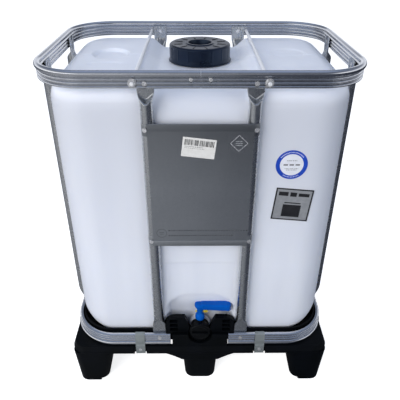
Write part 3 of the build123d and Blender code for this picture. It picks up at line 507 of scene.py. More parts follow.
def sharp_by_angle(made, degrees):
    """Marks edges sharper than an angle so that smooth shading breaks there."""
    limit = math.radians(degrees)
    bm = bmesh.new()
    bm.from_mesh(made.data)
    for edge in bm.edges:
        edge.smooth = not (len(edge.link_faces) == 2 and edge.calc_face_angle(0) > limit)
    bm.to_mesh(made.data)
    bm.free()


seam = 0.3 * mm
make_rail("top_rail_tube", "top_rail", True, -seam, seam, 0.12)
make_rail("bottom_rail_tube", "bottom_rail", False, -92 * mm, 88 * mm, 1.0)


# ---- Posts: round tube crushed flat at both ends ----
post_low, post_high = lows("front_left_post").z, highs("front_left_post").z
flat_half, post_sides = 20 * mm, 40
flat_in, flat_out = 4.0 * mm, 1.0 * mm
round_low, crush_low = 268 * mm, 212 * mm
round_high, crush_high = 935 * mm, 966 * mm


def post_ring(z, vee):
    """One ring of a post at a height, y inward; vee is how far the crushed part runs down in its middle."""
    upper = z > (round_low + round_high) / 2
    if upper:
        reach = (z - round_high) / (crush_high - round_high)
    else:
        reach = (round_low - z) / (round_low - crush_low)
    wide = float(smoothstep(reach))
    half = post_r + (flat_half - post_r) * wide
    ring = []
    for a in np.linspace(0, 2 * math.pi, post_sides, endpoint=False):
        x = half * math.cos(a)
        across = abs(x) / half
        y_round = post_r * math.sin(a)
        edge = 0.0015 * min(1.0, 3 * abs(math.sin(a)))
        mid = (flat_in + flat_out) / 2
        if a > math.pi:
            press = float(smoothstep((reach * 1.9 - across ** 1.6 * vee + 0.02) / 0.62))
            y = y_round + (mid - edge - y_round) * press
        else:
            press = float(smoothstep(reach))
            fold = 0.0011 * math.cos(2 * math.pi * x / 0.0095) * press
            y = y_round + (mid + edge + fold - y_round) * press
        ring.append((x, y, z))
    return ring


def make_post(cad, x, y, turn):
    """A post at its place; turn brings its outward side (-Y) to the real direction."""
    heights = [post_low, post_low + 0.001]
    for start, end, count in (
        (post_low + 0.006, crush_low, 7), (crush_low + 0.004, round_low + 0.004, 18),
        (round_low + 0.02, round_high - 0.01, 24), (round_high - 0.003, crush_high + 0.004, 20),
        (crush_high + 0.008, post_high, 6),
    ):
        heights += list(np.linspace(start, end, count))
    turned = Matrix.Rotation(turn, 3, "Z")
    points = []
    for z in heights:
        for px, py, pz in post_ring(z, 1.0 if z > 0.5 else 0.75):
            spot = turned @ Vector((px, py, 0))
            points.append((x + spot.x, y + spot.y, pz))
    faces = ring_faces(len(heights), post_sides)
    last = (len(heights) - 1) * post_sides
    faces.append(tuple(reversed(range(post_sides))))
    faces.append(tuple(range(last, last + post_sides)))
    made = mesh_object(cad + "_tube", points, faces)
    sharp_by_angle(made, 60)
    return place(made, steel_post, ROOT, "galvanised", cad)


post_turns = {"front": 0.0, "back": math.pi, "left": -math.pi / 2, "right": math.pi / 2}
for cad in [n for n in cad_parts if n.endswith("_post")]:
    centre = middle(cad)
    side = cad.split("_")[0]
    if side in ("front", "back"):
        make_post(cad, centre.x, math.copysign(post_y, centre.y), post_turns[side])
    else:
        make_post(cad, math.copysign(post_x, centre.x), centre.y, post_turns[side])


# ---- Tank: blow-moulded bottle with two lobes, a sunken middle, post grooves and a valve pocket ----
plan_r, low_r, low_r_front, high_r = 100 * mm, 94 * mm, 52 * mm, 60 * mm
tank_bottom = tank_low.z
front_post, side_post = abs(middle("front_left_post").x), abs(middle("left_front_post").y)
pocket_half, pocket_top, pocket_deep, pocket_corner = 96 * mm, 340 * mm, 26 * mm, 62 * mm
groove_deep, groove_half = 6 * mm, 17 * mm
neck_r, bore_r, collar_r = 73.6 * mm, 70 * mm, 79 * mm
sunken_z, sunken_fall, lobe_fall = 962 * mm, 18 * mm, 2.2 * mm
recess_places = ((-245 * mm, 8.5 * mm), (243 * mm, 1.9 * mm))
crease_z, crease_deep = 459 * mm, 0.9 * mm


def spaced(low, high, coarse, fine_places):
    """Values from low to high: coarse steps, with finer steps around (centre, reach, step) places."""
    values, v = [low], low
    while v < high - 1e-9:
        step = coarse
        for centre, reach, fine in fine_places:
            if centre - reach - 1e-9 <= v < centre + reach:
                step = min(step, fine)
            elif v < centre - reach < v + step:
                step = min(step, max(fine, centre - reach - v))
        v = min(high, v + step)
        values.append(v)
    if values[-1] - values[-2] < 0.25 * coarse and len(values) > 2:
        values.pop(-2)
    return values


def tank_columns():
    """Once round the plan: skeleton point and outward direction of each column."""
    sx, sy = tank_half_x - plan_r, tank_half_y - plan_r
    grooves_x = [(-front_post, groove_half, 0.003), (front_post, groove_half, 0.003)]
    pocket = [(-pocket_half, 0.009, 0.0025), (pocket_half, 0.009, 0.0025)]
    grooves_y = [
        (-side_post, groove_half, 0.003), (side_post, groove_half, 0.003), (0.0, 0.0036, 0.0009),
        (0.0, 0.1, 0.005)
    ]
    along_x = spaced(-sx, sx, 0.009, grooves_x + pocket)
    along_y = spaced(-sy, sy, 0.009, grooves_y)
    arc = np.linspace(0, math.pi / 2, 20)[1:-1]
    columns = [(x, -sy, 0.0, -1.0) for x in along_x]
    columns += [(sx, -sy, math.sin(a), -math.cos(a)) for a in arc]
    columns += [(sx, y, 1.0, 0.0) for y in along_y]
    columns += [(sx, sy, math.cos(a), math.sin(a)) for a in arc]
    columns += [(x, sy, 0.0, 1.0) for x in reversed(along_x)]
    columns += [(-sx, sy, -math.sin(a), math.cos(a)) for a in arc]
    columns += [(-sx, y, -1.0, 0.0) for y in reversed(along_y)]
    columns += [(-sx, -sy, -math.cos(a), -math.sin(a)) for a in arc]
    return np.array(columns)


def tank_lid_z(x, y):
    """Height of the tank's top: lobes left and right, a sunken middle that falls to the ends."""
    ends = smoothstep((np.abs(y) - 0.095) / 0.17)
    floor = sunken_z - sunken_fall * ends
    rise = smoothstep((np.abs(x) - 0.104) / 0.046)
    lobe = tank_top - lobe_fall * smoothstep((np.abs(y) - 0.11) / 0.15)
    return floor + (lobe - floor) * rise


def lid_relief(x, y):
    """Moulded recesses and the parting line on the tank's top."""
    relief = np.zeros_like(x)
    for centre_x, deep in recess_places:
        d = np.sqrt(((x - centre_x) / 0.047) ** 2 + ((y - 0.012) / 0.056) ** 2)
        relief -= deep * smoothstep((1.06 - d) / 0.16)
        second = np.sqrt(((x - centre_x) / 0.046) ** 2 + ((y + 0.095) / 0.020) ** 2)
        relief -= 0.25 * deep * smoothstep((1.1 - second) / 0.3)
    relief += 0.0011 * np.exp(-((y / 0.0022) ** 2)) * (np.abs(x) > 0.078)
    return relief


def wall_inset(x, y, nx, ny, z):
    """How far the wall lies inside its plain outline, for post grooves, the valve pocket, a crease across the
    front and a ridge along the sides' parting line.
    """
    face = np.abs(ny) > 0.999
    side = np.abs(nx) > 0.999
    off_x, off_y = np.abs(np.abs(x) - front_post), np.abs(np.abs(y) - side_post)
    inset = np.where(face, groove_deep * (1 - smoothstep((off_x - 0.003) / 0.014)), 0.0)
    inset += np.where(side, groove_deep * (1 - smoothstep((off_y - 0.003) / 0.014)), 0.0)
    front = face & (ny < 0)
    dx = np.abs(x) - (pocket_half - pocket_corner)
    dz = z - (pocket_top - pocket_corner)
    beyond = np.hypot(np.maximum(dx, 0), np.maximum(dz, 0))
    corner = beyond + np.minimum(np.maximum(dx, dz), 0) - pocket_corner
    slope = 0.12 + 0.88 * smoothstep((pocket_top - z) / 0.10)
    pocket = pocket_deep * slope * (1 - smoothstep((corner + 0.010) / 0.020))
    inset = np.where(front, np.maximum(inset, pocket), inset)
    crease = crease_deep * (1 - smoothstep((z - crease_z) / 0.006))
    inset += np.where(front & (np.abs(x) < 0.1), crease, 0.0)
    inset -= np.where(side, 0.0005 * np.exp(-((y / 0.0012) ** 2)), 0.0)
    return inset


def calm(x, z, places):
    """0 over a label or a mark and 1 away from it; each place is (x, z, radius)."""
    away = 1.0
    for px, pz, radius in places:
        away *= float(smoothstep((math.hypot(x - px, z - pz) - radius) / 0.04))
    return away


sticker_at, load_at = (227 * mm, 772 * mm), (240 * mm, 655 * mm)
tank_labels = [(*sticker_at, 0.043), (*load_at, 0.072)]


def wall_wave(x, y, z):
    """Slow waves of a moulded wall."""
    wave = 0.0011 * noise.noise(Vector((x * 5.0, y * 5.0, z * 3.2)))
    wave += 0.0003 * noise.noise(Vector((x * 22, y * 22, z * 14)))
    return wave * calm(x, z, tank_labels) if y < -0.2 else wave


def make_tank():
    """Builds the tank from the middle of its base, up its walls, over its top and down its neck."""
    columns = tank_columns()
    kx, ky, nx, ny = columns.T
    count = len(columns)
    outline_x, outline_y = kx + nx * plan_r, ky + ny * plan_r
    lid_wall = tank_lid_z(outline_x, outline_y)
    rings = []

    def wall_ring(s, z, strength=1.0):
        z = np.broadcast_to(z, kx.shape)
        inset = wall_inset(outline_x, outline_y, nx, ny, z) * strength
        x, y = kx + nx * (plan_r - s - inset), ky + ny * (plan_r - s - inset)
        wave = np.array([wall_wave(*p) for p in zip(x, y, z)]) * strength
        rings.append(np.stack([x + nx * wave, y + ny * wave, z], 1))

    wall_ring(plan_r - 0.002, tank_bottom, 0.0)
    foot_r = low_r_front + (low_r - low_r_front) * np.abs(nx)
    for a in np.linspace(math.pi / 2, 0, 15):
        s = foot_r * (1 - math.cos(a))
        wall_ring(s, tank_bottom + foot_r * (1 - math.sin(a)) + (low_r - foot_r) * math.cos(a) ** 12, 1.0)
    heights = spaced(
        tank_bottom + low_r, tank_top - high_r, 0.013,
        [(0.330, 0.016, 0.0025), (0.29, 0.05, 0.005), (0.462, 0.006, 0.002)]
    )
    for z in heights[1:]:
        stretch = smoothstep((z - 0.55) / (tank_top - high_r - 0.55))
        wall_ring(0.0, z + (lid_wall - tank_top) * stretch)
    for a in np.linspace(0, math.pi / 2, 15)[1:]:
        s = high_r * (1 - math.cos(a))
        fade = 1 - smoothstep((s - 0.01) / 0.04)
        inset = wall_inset(outline_x, outline_y, nx, ny, lid_wall - high_r) * fade
        x, y = kx + nx * (plan_r - s - inset), ky + ny * (plan_r - s - inset)
        z = tank_lid_z(x, y) - high_r * (1 - math.sin(a)) + lid_relief(x, y) * (1 - float(fade))
        rings.append(np.stack([x, y, z], 1))
    edge_x, edge_y = kx + nx * (plan_r - high_r), ky + ny * (plan_r - high_r)
    turn = np.arctan2(edge_y, edge_x)

    def neck_ring(r, z):
        rings.append(np.stack([r * np.cos(turn), r * np.sin(turn), np.full_like(turn, z)], 1))

    for t in np.linspace(0, 1, 62)[1:]:
        x = edge_x + (collar_r * np.cos(turn) - edge_x) * t
        y = edge_y + (collar_r * np.sin(turn) - edge_y) * t
        wave = np.array([wall_wave(*p) for p in zip(x, y, np.full_like(x, 1.0))])
        z = tank_lid_z(x, y) + lid_relief(x, y) + wave * min(1, 4 * t) * (t < 0.97)
        rings.append(np.stack([x, y, z], 1))
    for r, z in ((0.0770, 0.9628), (0.0755, 0.9644), (0.0742, 0.967)):
        neck_ring(r, z)
    for z in np.linspace(0.9685, 0.9975, 26):
        thread = np.clip(np.cos(2 * math.pi * z / 0.0085 - turn), 0, 1) ** 4
        r = neck_r + 0.0012 * thread * min(1.0, (0.998 - z) / 0.003) * min(1.0, (z - 0.967) / 0.003)
        neck_ring(r, z)
    for r, z in (
        (neck_r, 0.9992), (neck_r - 0.0008, neck_top), (bore_r + 0.0008, neck_top), (bore_r, 0.9992),
        (bore_r, 0.955), (bore_r + 0.002, 0.948)
    ):
        neck_ring(r, z)
    points = np.concatenate(rings)
    faces = ring_faces(len(rings), count)
    faces.append(tuple(reversed(range(count))))
    made = mesh_object("tank_shell", points, faces)
    sharp_by_angle(made, 55)
    return place(made, tank_look, ROOT, "tank_plastic", "tank", "tank_top", "tank_neck")


make_tank()
outlet = middle("valve_gasket")


def outlet_lathe(name, outline, count=128, ripple=None):
    """Body of revolution round the outlet axis from (radius, distance in front of the container's middle)."""
    return lathe(name, [(r, front) for r, front in outline], (0, 0, outlet.z), "y", count, ripple)


spout = outlet_lathe(
    "tank_outlet_spout",
    [
        (0.0335, 0.2345), (0.0318, 0.2362), (0.0309, 0.2380), (0.0303, 0.2405), (0.0300, 0.2430),
        (0.0300, 0.2450), (0.0292, 0.2460), (0.0246, 0.2460), (0.0240, 0.2452), (0.0240, 0.2300),
    ],
)
place(spout, tank_look, ROOT, "tank_plastic")


# ---- Front plate with folded hems, tabs round the posts and scribed marks ----
plate_back, plate_half = 289.1 * mm, front_post
hem_tall = 18 * mm


def plate_section(low, high):
    """Closed section of the plate: (outward, height), with both edges folded to the front."""
    face, gap = sheet, 0.15 * mm
    front = 2 * sheet + gap
    fold = front / 2
    hem = [
        (front, fold), (front, hem_tall - 0.0004), (front - 0.0003, hem_tall),
        (face + gap, hem_tall), (face + gap * 0.4, hem_tall - 0.0006), (face, hem_tall + 0.0012),
    ]
    levels = np.linspace(low + 0.03, high - 0.03, 24)
    points = [(0.0, low + fold), *[(0.0, z) for z in levels], (0.0, high - fold)]
    for a in np.linspace(math.pi, 0, 9)[1:-1]:
        points.append((fold + fold * math.cos(a), high - fold + fold * math.sin(a)))
    points += [(out, high - deep) for out, deep in hem]
    points += [(face, z) for z in reversed(levels)]
    points += [(out, low + deep) for out, deep in reversed(hem)]
    for a in np.linspace(0, -math.pi, 9)[1:-1]:
        points.append((fold + fold * math.cos(a), low + fold + fold * math.sin(a)))
    return points


barcode_at, diamond_at = (-4.6 * mm, 831 * mm), (90.5 * mm, 843 * mm)
stamp_z = 585 * mm


def plate_buckle(x, z):
    """Gentle oil-canning of the thin sheet, nothing at its edges and marks."""
    edge = min(1.0, 10 * (plate_half - abs(x))) * min(1.0, 12 * (z - plate_low.z), 12 * (plate_high.z - z))
    edge *= calm(x, z, [(*barcode_at, 0.048), (*diamond_at, 0.022), (x, stamp_z, 0.017)])
    return max(0.0, edge) * 0.0014 * noise.noise(Vector((x * 6.5, 3.0, z * 6.5)))


def make_plate():
    """The sheet itself, and its four tabs, as one piece."""
    section = plate_section(plate_low.z, plate_high.z)
    points = []
    stations = np.linspace(-plate_half, plate_half, 48)
    for x in stations:
        for out, z in section:
            points.append((x, -(plate_back + out + plate_buckle(x, z)), z))
    count = len(section)
    faces = ring_faces(len(stations), count)
    last = (len(stations) - 1) * count
    faces.append(tuple(range(count)))
    faces.append(tuple(reversed(range(last, last + count))))
    for side in (-1, 1):
        for low in (plate_low.z + 0.0015, plate_high.z - 0.0315):
            start = len(points)
            turns = np.linspace(math.radians(-3), math.radians(52), 20)
            tab = [
                (post_r + 0.00012, 0.0006), (post_r + 0.00012, 0.0294), (post_r + 0.0004, 0.03),
                (post_r + 0.0010, 0.03), (post_r + 0.0013, 0.0294), (post_r + 0.0013, 0.0006),
                (post_r + 0.0010, 0.0), (post_r + 0.0004, 0.0)
            ]
            for a in turns:
                for r, up in tab:
                    x = side * (plate_half + r * math.sin(a))
                    points.append((x, -post_y - r * math.cos(a), low + up))
            faces += ring_faces(len(turns), len(tab), True, start)
            end = start + (len(turns) - 1) * len(tab)
            faces.append(tuple(range(start, start + len(tab))))
            faces.append(tuple(reversed(range(end, end + len(tab)))))
    made = mesh_object("front_plate_sheet", points, faces)
    weld(made, 1e-7)
    sharp_by_angle(made, 40)
    return place(made, steel_plate, ROOT, "plate_steel", "front_plate")


make_plate()


def on_plate(x, z):
    """Outward distance of the plate's face."""
    return plate_back + sheet + plate_buckle(x, z)


def on_tank(x, z):
    """Outward distance of the tank's front wall."""
    return tank_half_y + wall_wave(x, -tank_half_y, z)


def flat_piece(name, shapes, centre, turn, surface, rise, thick):
    """Thin printed shapes that follow a surface. Each shape is a closed outline of (across, up) in metres."""
    points, faces = [], []
    c, s = math.cos(turn), math.sin(turn)

    def spot(u, v, out):
        x, z = centre[0] + u * c - v * s, centre[1] + u * s + v * c
        return (x, -(surface(x, z) + out), z)

    for shape in shapes:
        start, count = len(points), len(shape)
        points += [spot(u, v, rise) for u, v in shape] + [spot(u, v, rise + thick) for u, v in shape]
        faces += ring_faces(2, count, True, start)
        faces.append(tuple(reversed(range(start, start + count))))
        faces.append(tuple(range(start + count, start + 2 * count)))
    made = mesh_object(name, points, faces, smooth=False)
    weld(made, 1e-8)
    return made


def box_shape(u, v, wide, tall, steps=1):
    """Rectangle outline centred at (u, v)."""
    left, right, low, high = u - wide / 2, u + wide / 2, v - tall / 2, v + tall / 2
    across = np.linspace(left, right, steps + 1)
    return [(a, low) for a in across] + [(a, high) for a in reversed(across)]


def disc_shape(u, v, radius, count=64):
    """Round outline centred at (u, v)."""
    return [
        (u + radius * math.cos(a), v + radius * math.sin(a))
        for a in np.linspace(0, 2 * math.pi, count, endpoint=False)
    ]


def ring_shapes(u, v, inner, outer, start=0.0, end=2 * math.pi, parts=16):
    """Ring or arc made of convex pieces."""
    turns = np.linspace(start, end, parts + 1)
    shapes = []
    for a, b in zip(turns[:-1], turns[1:]):
        arc = np.linspace(a, b, 5)
        shapes.append(
            [(u + outer * math.cos(t), v + outer * math.sin(t)) for t in arc]
            + [(u + inner * math.cos(t), v + inner * math.sin(t)) for t in reversed(arc)]
        )
    return shapes


def line_shape(start, end, width):
    """Straight stroke between two points."""
    dx, dy = end[0] - start[0], end[1] - start[1]
    length = math.hypot(dx, dy)
    ox, oy = -dy / length * width / 2, dx / length * width / 2
    return [
        (start[0] - ox, start[1] - oy), (end[0] - ox, end[1] - oy),
        (end[0] + ox, end[1] + oy), (start[0] + ox, start[1] + oy),
    ]


def dash_row(u, v, length, tall, rng, longest=0.0052, gap=0.0011):
    """A row of short dashes that stands for a printed line."""
    shapes, x = [], u - length / 2
    while x < u + length / 2 - 0.001:
        wide = min(float(rng.uniform(0.35, 1.0)) * longest, u + length / 2 - x)
        if wide > 0.0006:
            shapes.append(box_shape(x + wide / 2, v, wide, tall))
        x += wide + gap * float(rng.uniform(0.8, 1.5))
    return shapes


def print_on(name, shapes, centre, turn, surface, rise, material, slot, thick=0.06 * mm, nodes=()):
    """Makes a printed piece and gives it its look and body."""
    made = flat_piece(name, shapes, centre, turn, surface, rise, thick)
    return place(made, material, ROOT, slot, *nodes)


film = 0.3 * mm
on_skin, on_sheet, on_film, on_print = 0.02 * mm, 0.03 * mm, film + 0.02 * mm, film + 0.12 * mm


def print_film(cad, name, shape, centre, turn, surface, material, slot):
    """The film of a label, which stands for its CAD node."""
    print_on(name, [shape], centre, turn, surface, on_skin, material, slot, film, (cad,))


def print_layers(centre, turn, surface, slot, layers):
    """Prints what lies on a label; each layer is (name, shapes, rise, material)."""
    for name, shapes, rise, material in layers:
        print_on(name, shapes, centre, turn, surface, rise, material, slot)


def at_angle(angle, radius):
    """Point at an angle and a radius."""
    return (radius * math.cos(angle), radius * math.sin(angle))


random_marks = np.random.default_rng(7)
barcode_turn, load_turn = math.radians(-6.9), math.radians(-5.3)
paper = box_shape(0, 0, 0.080, 0.050, 12)
print_film(
    "barcode_label", "barcode_label_paper", paper, barcode_at, barcode_turn, on_plate, white_paper,
    "white_label",
)
bars = []
x = -0.035
while x < 0.034:
    wide = float(random_marks.choice([0.0006, 0.0009, 0.0014, 0.0020]))
    if not -0.004 < x < 0.0005:
        bars.append(box_shape(x + wide / 2, 0.0125, wide, 0.0145))
    x += wide + float(random_marks.choice([0.0007, 0.0010, 0.0016]))
lines = dash_row(-0.012, 0.0018, 0.044, 0.0016, random_marks, 0.004)
lines += dash_row(-0.010, -0.0022, 0.048, 0.0009, random_marks, 0.005)
print_layers(barcode_at, barcode_turn, on_plate, "white_label", [
    ("barcode_label_bars", bars, on_film, black_ink),
    ("barcode_label_lines", lines, on_film, grey_ink),
])

diamond = 0.0205
corners = [(0, diamond), (diamond, 0), (0, -diamond), (-diamond, 0)]
strokes = [line_shape(corners[i], corners[(i + 1) % 4], 0.0007) for i in range(4)]
strokes += [line_shape((-0.008, v), (0.008, v), 0.0006) for v in (0.005, 0.0, -0.005)]
ring = ring_shapes(0, 0, 0.0125, 0.0135)
ring += [box_shape(0, 0.002, 0.012, 0.0012), box_shape(0, -0.003, 0.009, 0.0012)]
rows = dash_row(0.0, 0.0085, 0.208, 0.0040, random_marks, 0.0052, 0.0026)
rows += dash_row(-0.018, -0.0075, 0.172, 0.0040, random_marks, 0.0052, 0.0026)
for name, shapes, mark_at, look in (
    ("plate_scribed_diamond", strokes, diamond_at, plate_scratch),
    ("plate_stamped_ring", ring, (-102 * mm, stamp_z), plate_mark),
    ("plate_stamped_rows", rows, (20 * mm, stamp_z), plate_mark),
):
    print_on(name, shapes, mark_at, 0.0, on_plate, on_sheet, look, "plate_steel")

sticker = disc_shape(0, 0, 0.040, 96)
print_film("round_label", "round_label_film", sticker, sticker_at, 0.0, on_tank, blue_film, "blue_label")
rim_turns = np.radians(np.concatenate([np.arange(38, 144, 5.5), np.arange(236, 306, 6.5)]))
rim_marks = [line_shape(at_angle(a, 0.0333), at_angle(a + 0.045, 0.0352), 0.0016) for a in rim_turns]
middle_dashes = [box_shape(x, 0.0, 0.011, 0.0040) for x in (-0.015, 0.0, 0.015)]
lines = dash_row(0, 0.0115, 0.026, 0.0016, random_marks)
lines += dash_row(0, -0.0105, 0.034, 0.0014, random_marks)
lines += dash_row(0, -0.0142, 0.026, 0.0014, random_marks)
print_layers(sticker_at, 0.0, on_tank, "blue_label", [
    ("round_label_disc", [disc_shape(0, 0, 0.0295, 96)], on_film, white_film),
    ("round_label_rim_marks", rim_marks, on_film, white_film),
    ("round_label_dashes", middle_dashes, on_print, grey_ink),
    ("round_label_lines", lines, on_print, grey_ink),
])

panel = box_shape(0, 0, 0.098, 0.096, 12)
print_film("load_label", "load_label_film", panel, load_at, load_turn, on_tank, black_ink, "grey_label")
dashes = [
    box_shape(-0.0280, 0.0315, 0.025, 0.0115), box_shape(-0.0020, 0.0310, 0.017, 0.0125),
    box_shape(0.0255, 0.0310, 0.028, 0.0095),
]
print_layers(load_at, load_turn, on_tank, "grey_label", [
    ("load_label_panel", [box_shape(0, 0, 0.0905, 0.0885, 12)], on_film, grey_film),
    ("load_label_box", [box_shape(0.0, -0.0185, 0.048, 0.037, 6)], on_print, black_ink),
    ("load_label_line", [box_shape(0.0, 0.0055, 0.043, 0.0032, 6)], on_print, black_ink),
    ("load_label_dashes", dashes, on_print, black_ink),
])


# ---- Fill cap with wide grip facets, radial ribs and a ring round its sunken vent ----
cap_r, cap_bore = 82.5 * mm, 76 * mm
cap_top, cap_ring_top = 1008.5 * mm, cap_high.z
facet_count, facet_deep = 16, 1.0 * mm
facet_low, facet_high = 973.5 * mm, 1004.5 * mm


def cap_ripple(angle, radius, height):
    """Shallow wide flutes round the cap's side."""
    if not (radius > 0.0795 and facet_low < height < facet_high):
        return 0.0
    fade = min(1.0, (height - facet_low) / 0.003, (facet_high - height) / 0.002)
    turn = (angle * facet_count / (2 * math.pi)) % 1.0
    hollow = float(smoothstep((0.5 - abs(turn - 0.5)) / 0.10))
    return -facet_deep * hollow * fade


cap_outline = [
    (cap_bore, 0.9640), (0.0846, 0.9640), (0.0852, 0.9645), (0.0852, 0.9658), (0.0846, 0.9665),
    (0.0838, 0.9672), (0.0832, 0.9684), (0.0828, 0.9700), (0.0826, 0.9722), (0.0825, 0.9740),
    (cap_r, 0.9760), (cap_r, 0.9790), (cap_r, 0.9850), (cap_r, 0.9910), (cap_r, 0.9970),
    (cap_r, 1.0015), (0.0824, 1.0030), (0.0818, 1.0050), (0.0806, 1.0066), (0.0788, 1.0078),
    (0.0766, 1.0084), (0.0740, cap_top), (0.0600, 1.0082), (0.0450, 1.0080), (0.0400, 1.0080),
    (0.0388, 1.0082), (0.0379, 1.0090), (0.0375, 1.0097), (0.0368, cap_ring_top), (0.0322, cap_ring_top),
    (0.0313, 1.0096), (0.0310, 1.0088), (0.0308, 0.9900), (0.0302, 0.9886), (0.0290, 0.9880),
    (0.0145, 0.9880), (0.0140, 0.9875), (0.0140, 0.9845), (0.0144, 0.9840), (0.0345, 0.9840),
    (0.0350, 0.9845), (0.0350, 1.0024), (0.0356, 1.0030), (0.0754, 1.0030), (cap_bore, 1.0024),
    (cap_bore, 0.9640),
]
cap = lathe("fill_cap_shell", cap_outline, (0, 0, 0), "z", 288, cap_ripple)
sharp_by_angle(cap, 42)
place(cap, cap_navy_and_painted_sky, "cap", "black_plastic", "fill_cap")


def bevelled(made, radius, segments):
    """Rounds every edge that turns by more than 60 degrees."""
    round_edges = made.modifiers.new("round", "BEVEL")
    round_edges.width, round_edges.segments = radius, segments
    round_edges.limit_method, round_edges.angle_limit = "ANGLE", math.radians(60)
    modifier_applied(made)


def rounded_block(name, size, radius, segments=3):
    """Box centred at the origin with rounded edges."""
    signs = [(x, y, z) for x in (-1, 1) for y in (-1, 1) for z in (-1, 1)]
    points = [(x * size[0] / 2, y * size[1] / 2, z * size[2] / 2) for x, y, z in signs]
    faces = [(0, 1, 3, 2), (4, 6, 7, 5), (0, 4, 5, 1), (2, 3, 7, 6), (0, 2, 6, 4), (1, 5, 7, 3)]
    made = mesh_object(name, points, faces)
    bevelled(made, radius, segments)
    made.data.polygons.foreach_set("use_smooth", [True] * len(made.data.polygons))
    return made


def moved(made, matrix):
    """Moves the points of a mesh."""
    made.data.transform(matrix)
    return made


def joined(name, parts):
    """One mesh object from several."""
    points, faces, smooth = [], [], []
    for part in parts:
        start = len(points)
        points += [v.co.copy() for v in part.data.vertices]
        faces += [tuple(start + i for i in poly.vertices) for poly in part.data.polygons]
        smooth += [poly.use_smooth for poly in part.data.polygons]
        bpy.data.objects.remove(part)
    made = mesh_object(name, points, faces)
    made.data.polygons.foreach_set("use_smooth", smooth)
    return made


rib_places = [2 * math.pi * (i + 0.5) / 12 for i in range(12)]
ribs = [
    moved(
        rounded_block("rib", (0.0230, 0.0028, 0.0022), 0.0008),
        Matrix.Rotation(a, 4, "Z") @ Matrix.Translation((0.0600, 0, cap_top - 0.0004)),
    )
    for a in rib_places
]
place(joined("fill_cap_ribs", ribs), black_valve, "cap", "black_plastic")


# ---- Lever: hub, tapered paddle and the round knob under it, moulded as one ----
stem_y = middle("valve_stem").y
lever_top, lever_tip = lever_high.z, lever_high.x


def outline_prism(name, outline, low, high, radius, segments=4):
    """Straight prism from a plan outline, with rounded top and bottom edges."""
    count = len(outline)
    points = [(x, y, low) for x, y in outline] + [(x, y, high) for x, y in outline]
    faces = ring_faces(2, count) + [tuple(reversed(range(count))), tuple(range(count, 2 * count))]
    made = mesh_object(name, points, faces)
    bevelled(made, radius, segments)
    return made


def paddle_outline():
    """Plan of the paddle: narrow at the hub, wider and round-cornered at its tip."""
    tip, half, corner = lever_tip, 19.0 * mm, 9 * mm
    side = [(0.002, 0.0158), (0.020, 0.0156), (0.034, 0.0166), (0.052, 0.0180), (0.070, 0.0188)]
    bend = [
        (tip - corner + corner * math.sin(a), half - corner + corner * math.cos(a))
        for a in np.linspace(0, math.pi / 2, 9)
    ]
    upper = side + bend
    lower = [(x, -y) for x, y in reversed(upper)]
    return [(x, stem_y + y) for x, y in upper + lower][::-1]


paddle_low, paddle_top = lever_top - 18.0 * mm, lever_top + 3.0 * mm
paddle = outline_prism("paddle", paddle_outline(), paddle_low, paddle_top, 5.0 * mm)
for vertex in paddle.data.vertices:
    along = max(0.0, (vertex.co.x - 0.02) / (lever_tip - 0.02))
    if vertex.co.z < lever_top - 5 * mm:
        vertex.co.z -= 1.6 * mm * along
knob_outline = [
    (0.0, 0.2410), (0.0100, 0.2410), (0.0124, 0.2420), (0.0140, 0.2442), (0.0146, 0.2475),
    (0.0146, 0.2520), (0.0142, 0.2565), (0.0128, 0.2600), (0.0106, 0.2625), (0.0095, 0.2655),
]
head_outline = [
    (0.0095, 0.0225), (0.0108, 0.0187), (0.0130, 0.0165), (0.0148, 0.0149), (0.0160, 0.0125),
    (0.0165, 0.0095),
    (0.0162, 0.0060), (0.0150, 0.0030), (0.0130, 0.0010), (0.0105, 0.0), (0.0, 0.0),
]
hub_outline = knob_outline + [(r, lever_top - below) for r, below in head_outline]
hub = lathe("hub", hub_outline, (0, stem_y, 0), "z", 72)
lever = joined("lever_arm_shell", [paddle, hub])
remesh = lever.modifiers.new("merge", "REMESH")
remesh.mode, remesh.voxel_size, remesh.use_smooth_shade = "VOXEL", 0.8 * mm, True
soften = lever.modifiers.new("soften", "SMOOTH")
soften.factor, soften.iterations = 0.5, 4
modifier_applied(lever)
place(lever, blue_lever, "lever_arm", "blue_plastic", "lever")


# ---- Outlet dust cap ----
def dust_ripple(angle, radius, front):
    """Grip flutes on the cap's rim."""
    if radius < 0.0325 or front > 0.2825:
        return 0.0
    return -0.0011 * max(0.0, math.cos(20 * angle)) ** 2


dust_outline = [
    (0.0302, 0.2662), (0.0332, 0.2662), (0.0340, 0.2670), (0.0340, 0.2700), (0.0340, 0.2780),
    (0.0339, 0.2802),
    (0.0330, 0.2822), (0.0312, 0.2836), (0.0290, 0.2843), (0.0262, 0.2845), (0.0246, 0.2842),
    (0.0236, 0.2834),
    (0.0222, 0.2832), (0.0120, 0.2832), (0.0, 0.2832), (0.0, 0.2806), (0.0296, 0.2806), (0.0302, 0.2800),
    (0.0302, 0.2662),
]
dust_shell = outlet_lathe("dust_shell", dust_outline, 160, dust_ripple)
grip = moved(
    rounded_block("grip", (0.0500, 0.0075, 0.0062), 0.0018),
    Matrix.Translation((0, -0.2858, outlet.z)),
)
to_axis, to_rim = Matrix.Translation((0, 0, outlet.z)), Matrix.Translation((0.0325, -0.2770, 0))
lugs = [
    moved(
        rounded_block("lug", (0.0070, 0.0100, 0.0060), 0.0016), to_axis @ Matrix.Rotation(-a, 4, "Y") @ to_rim
    )
    for a in (2 * math.pi * i / 6 + 0.4 for i in range(6))
]
dust_cap = joined("dust_cap_shell", [dust_shell, grip, *lugs])
sharp_by_angle(dust_cap, 45)
place(dust_cap, black_valve, "outlet_cap", "black_plastic", "dust_cap")


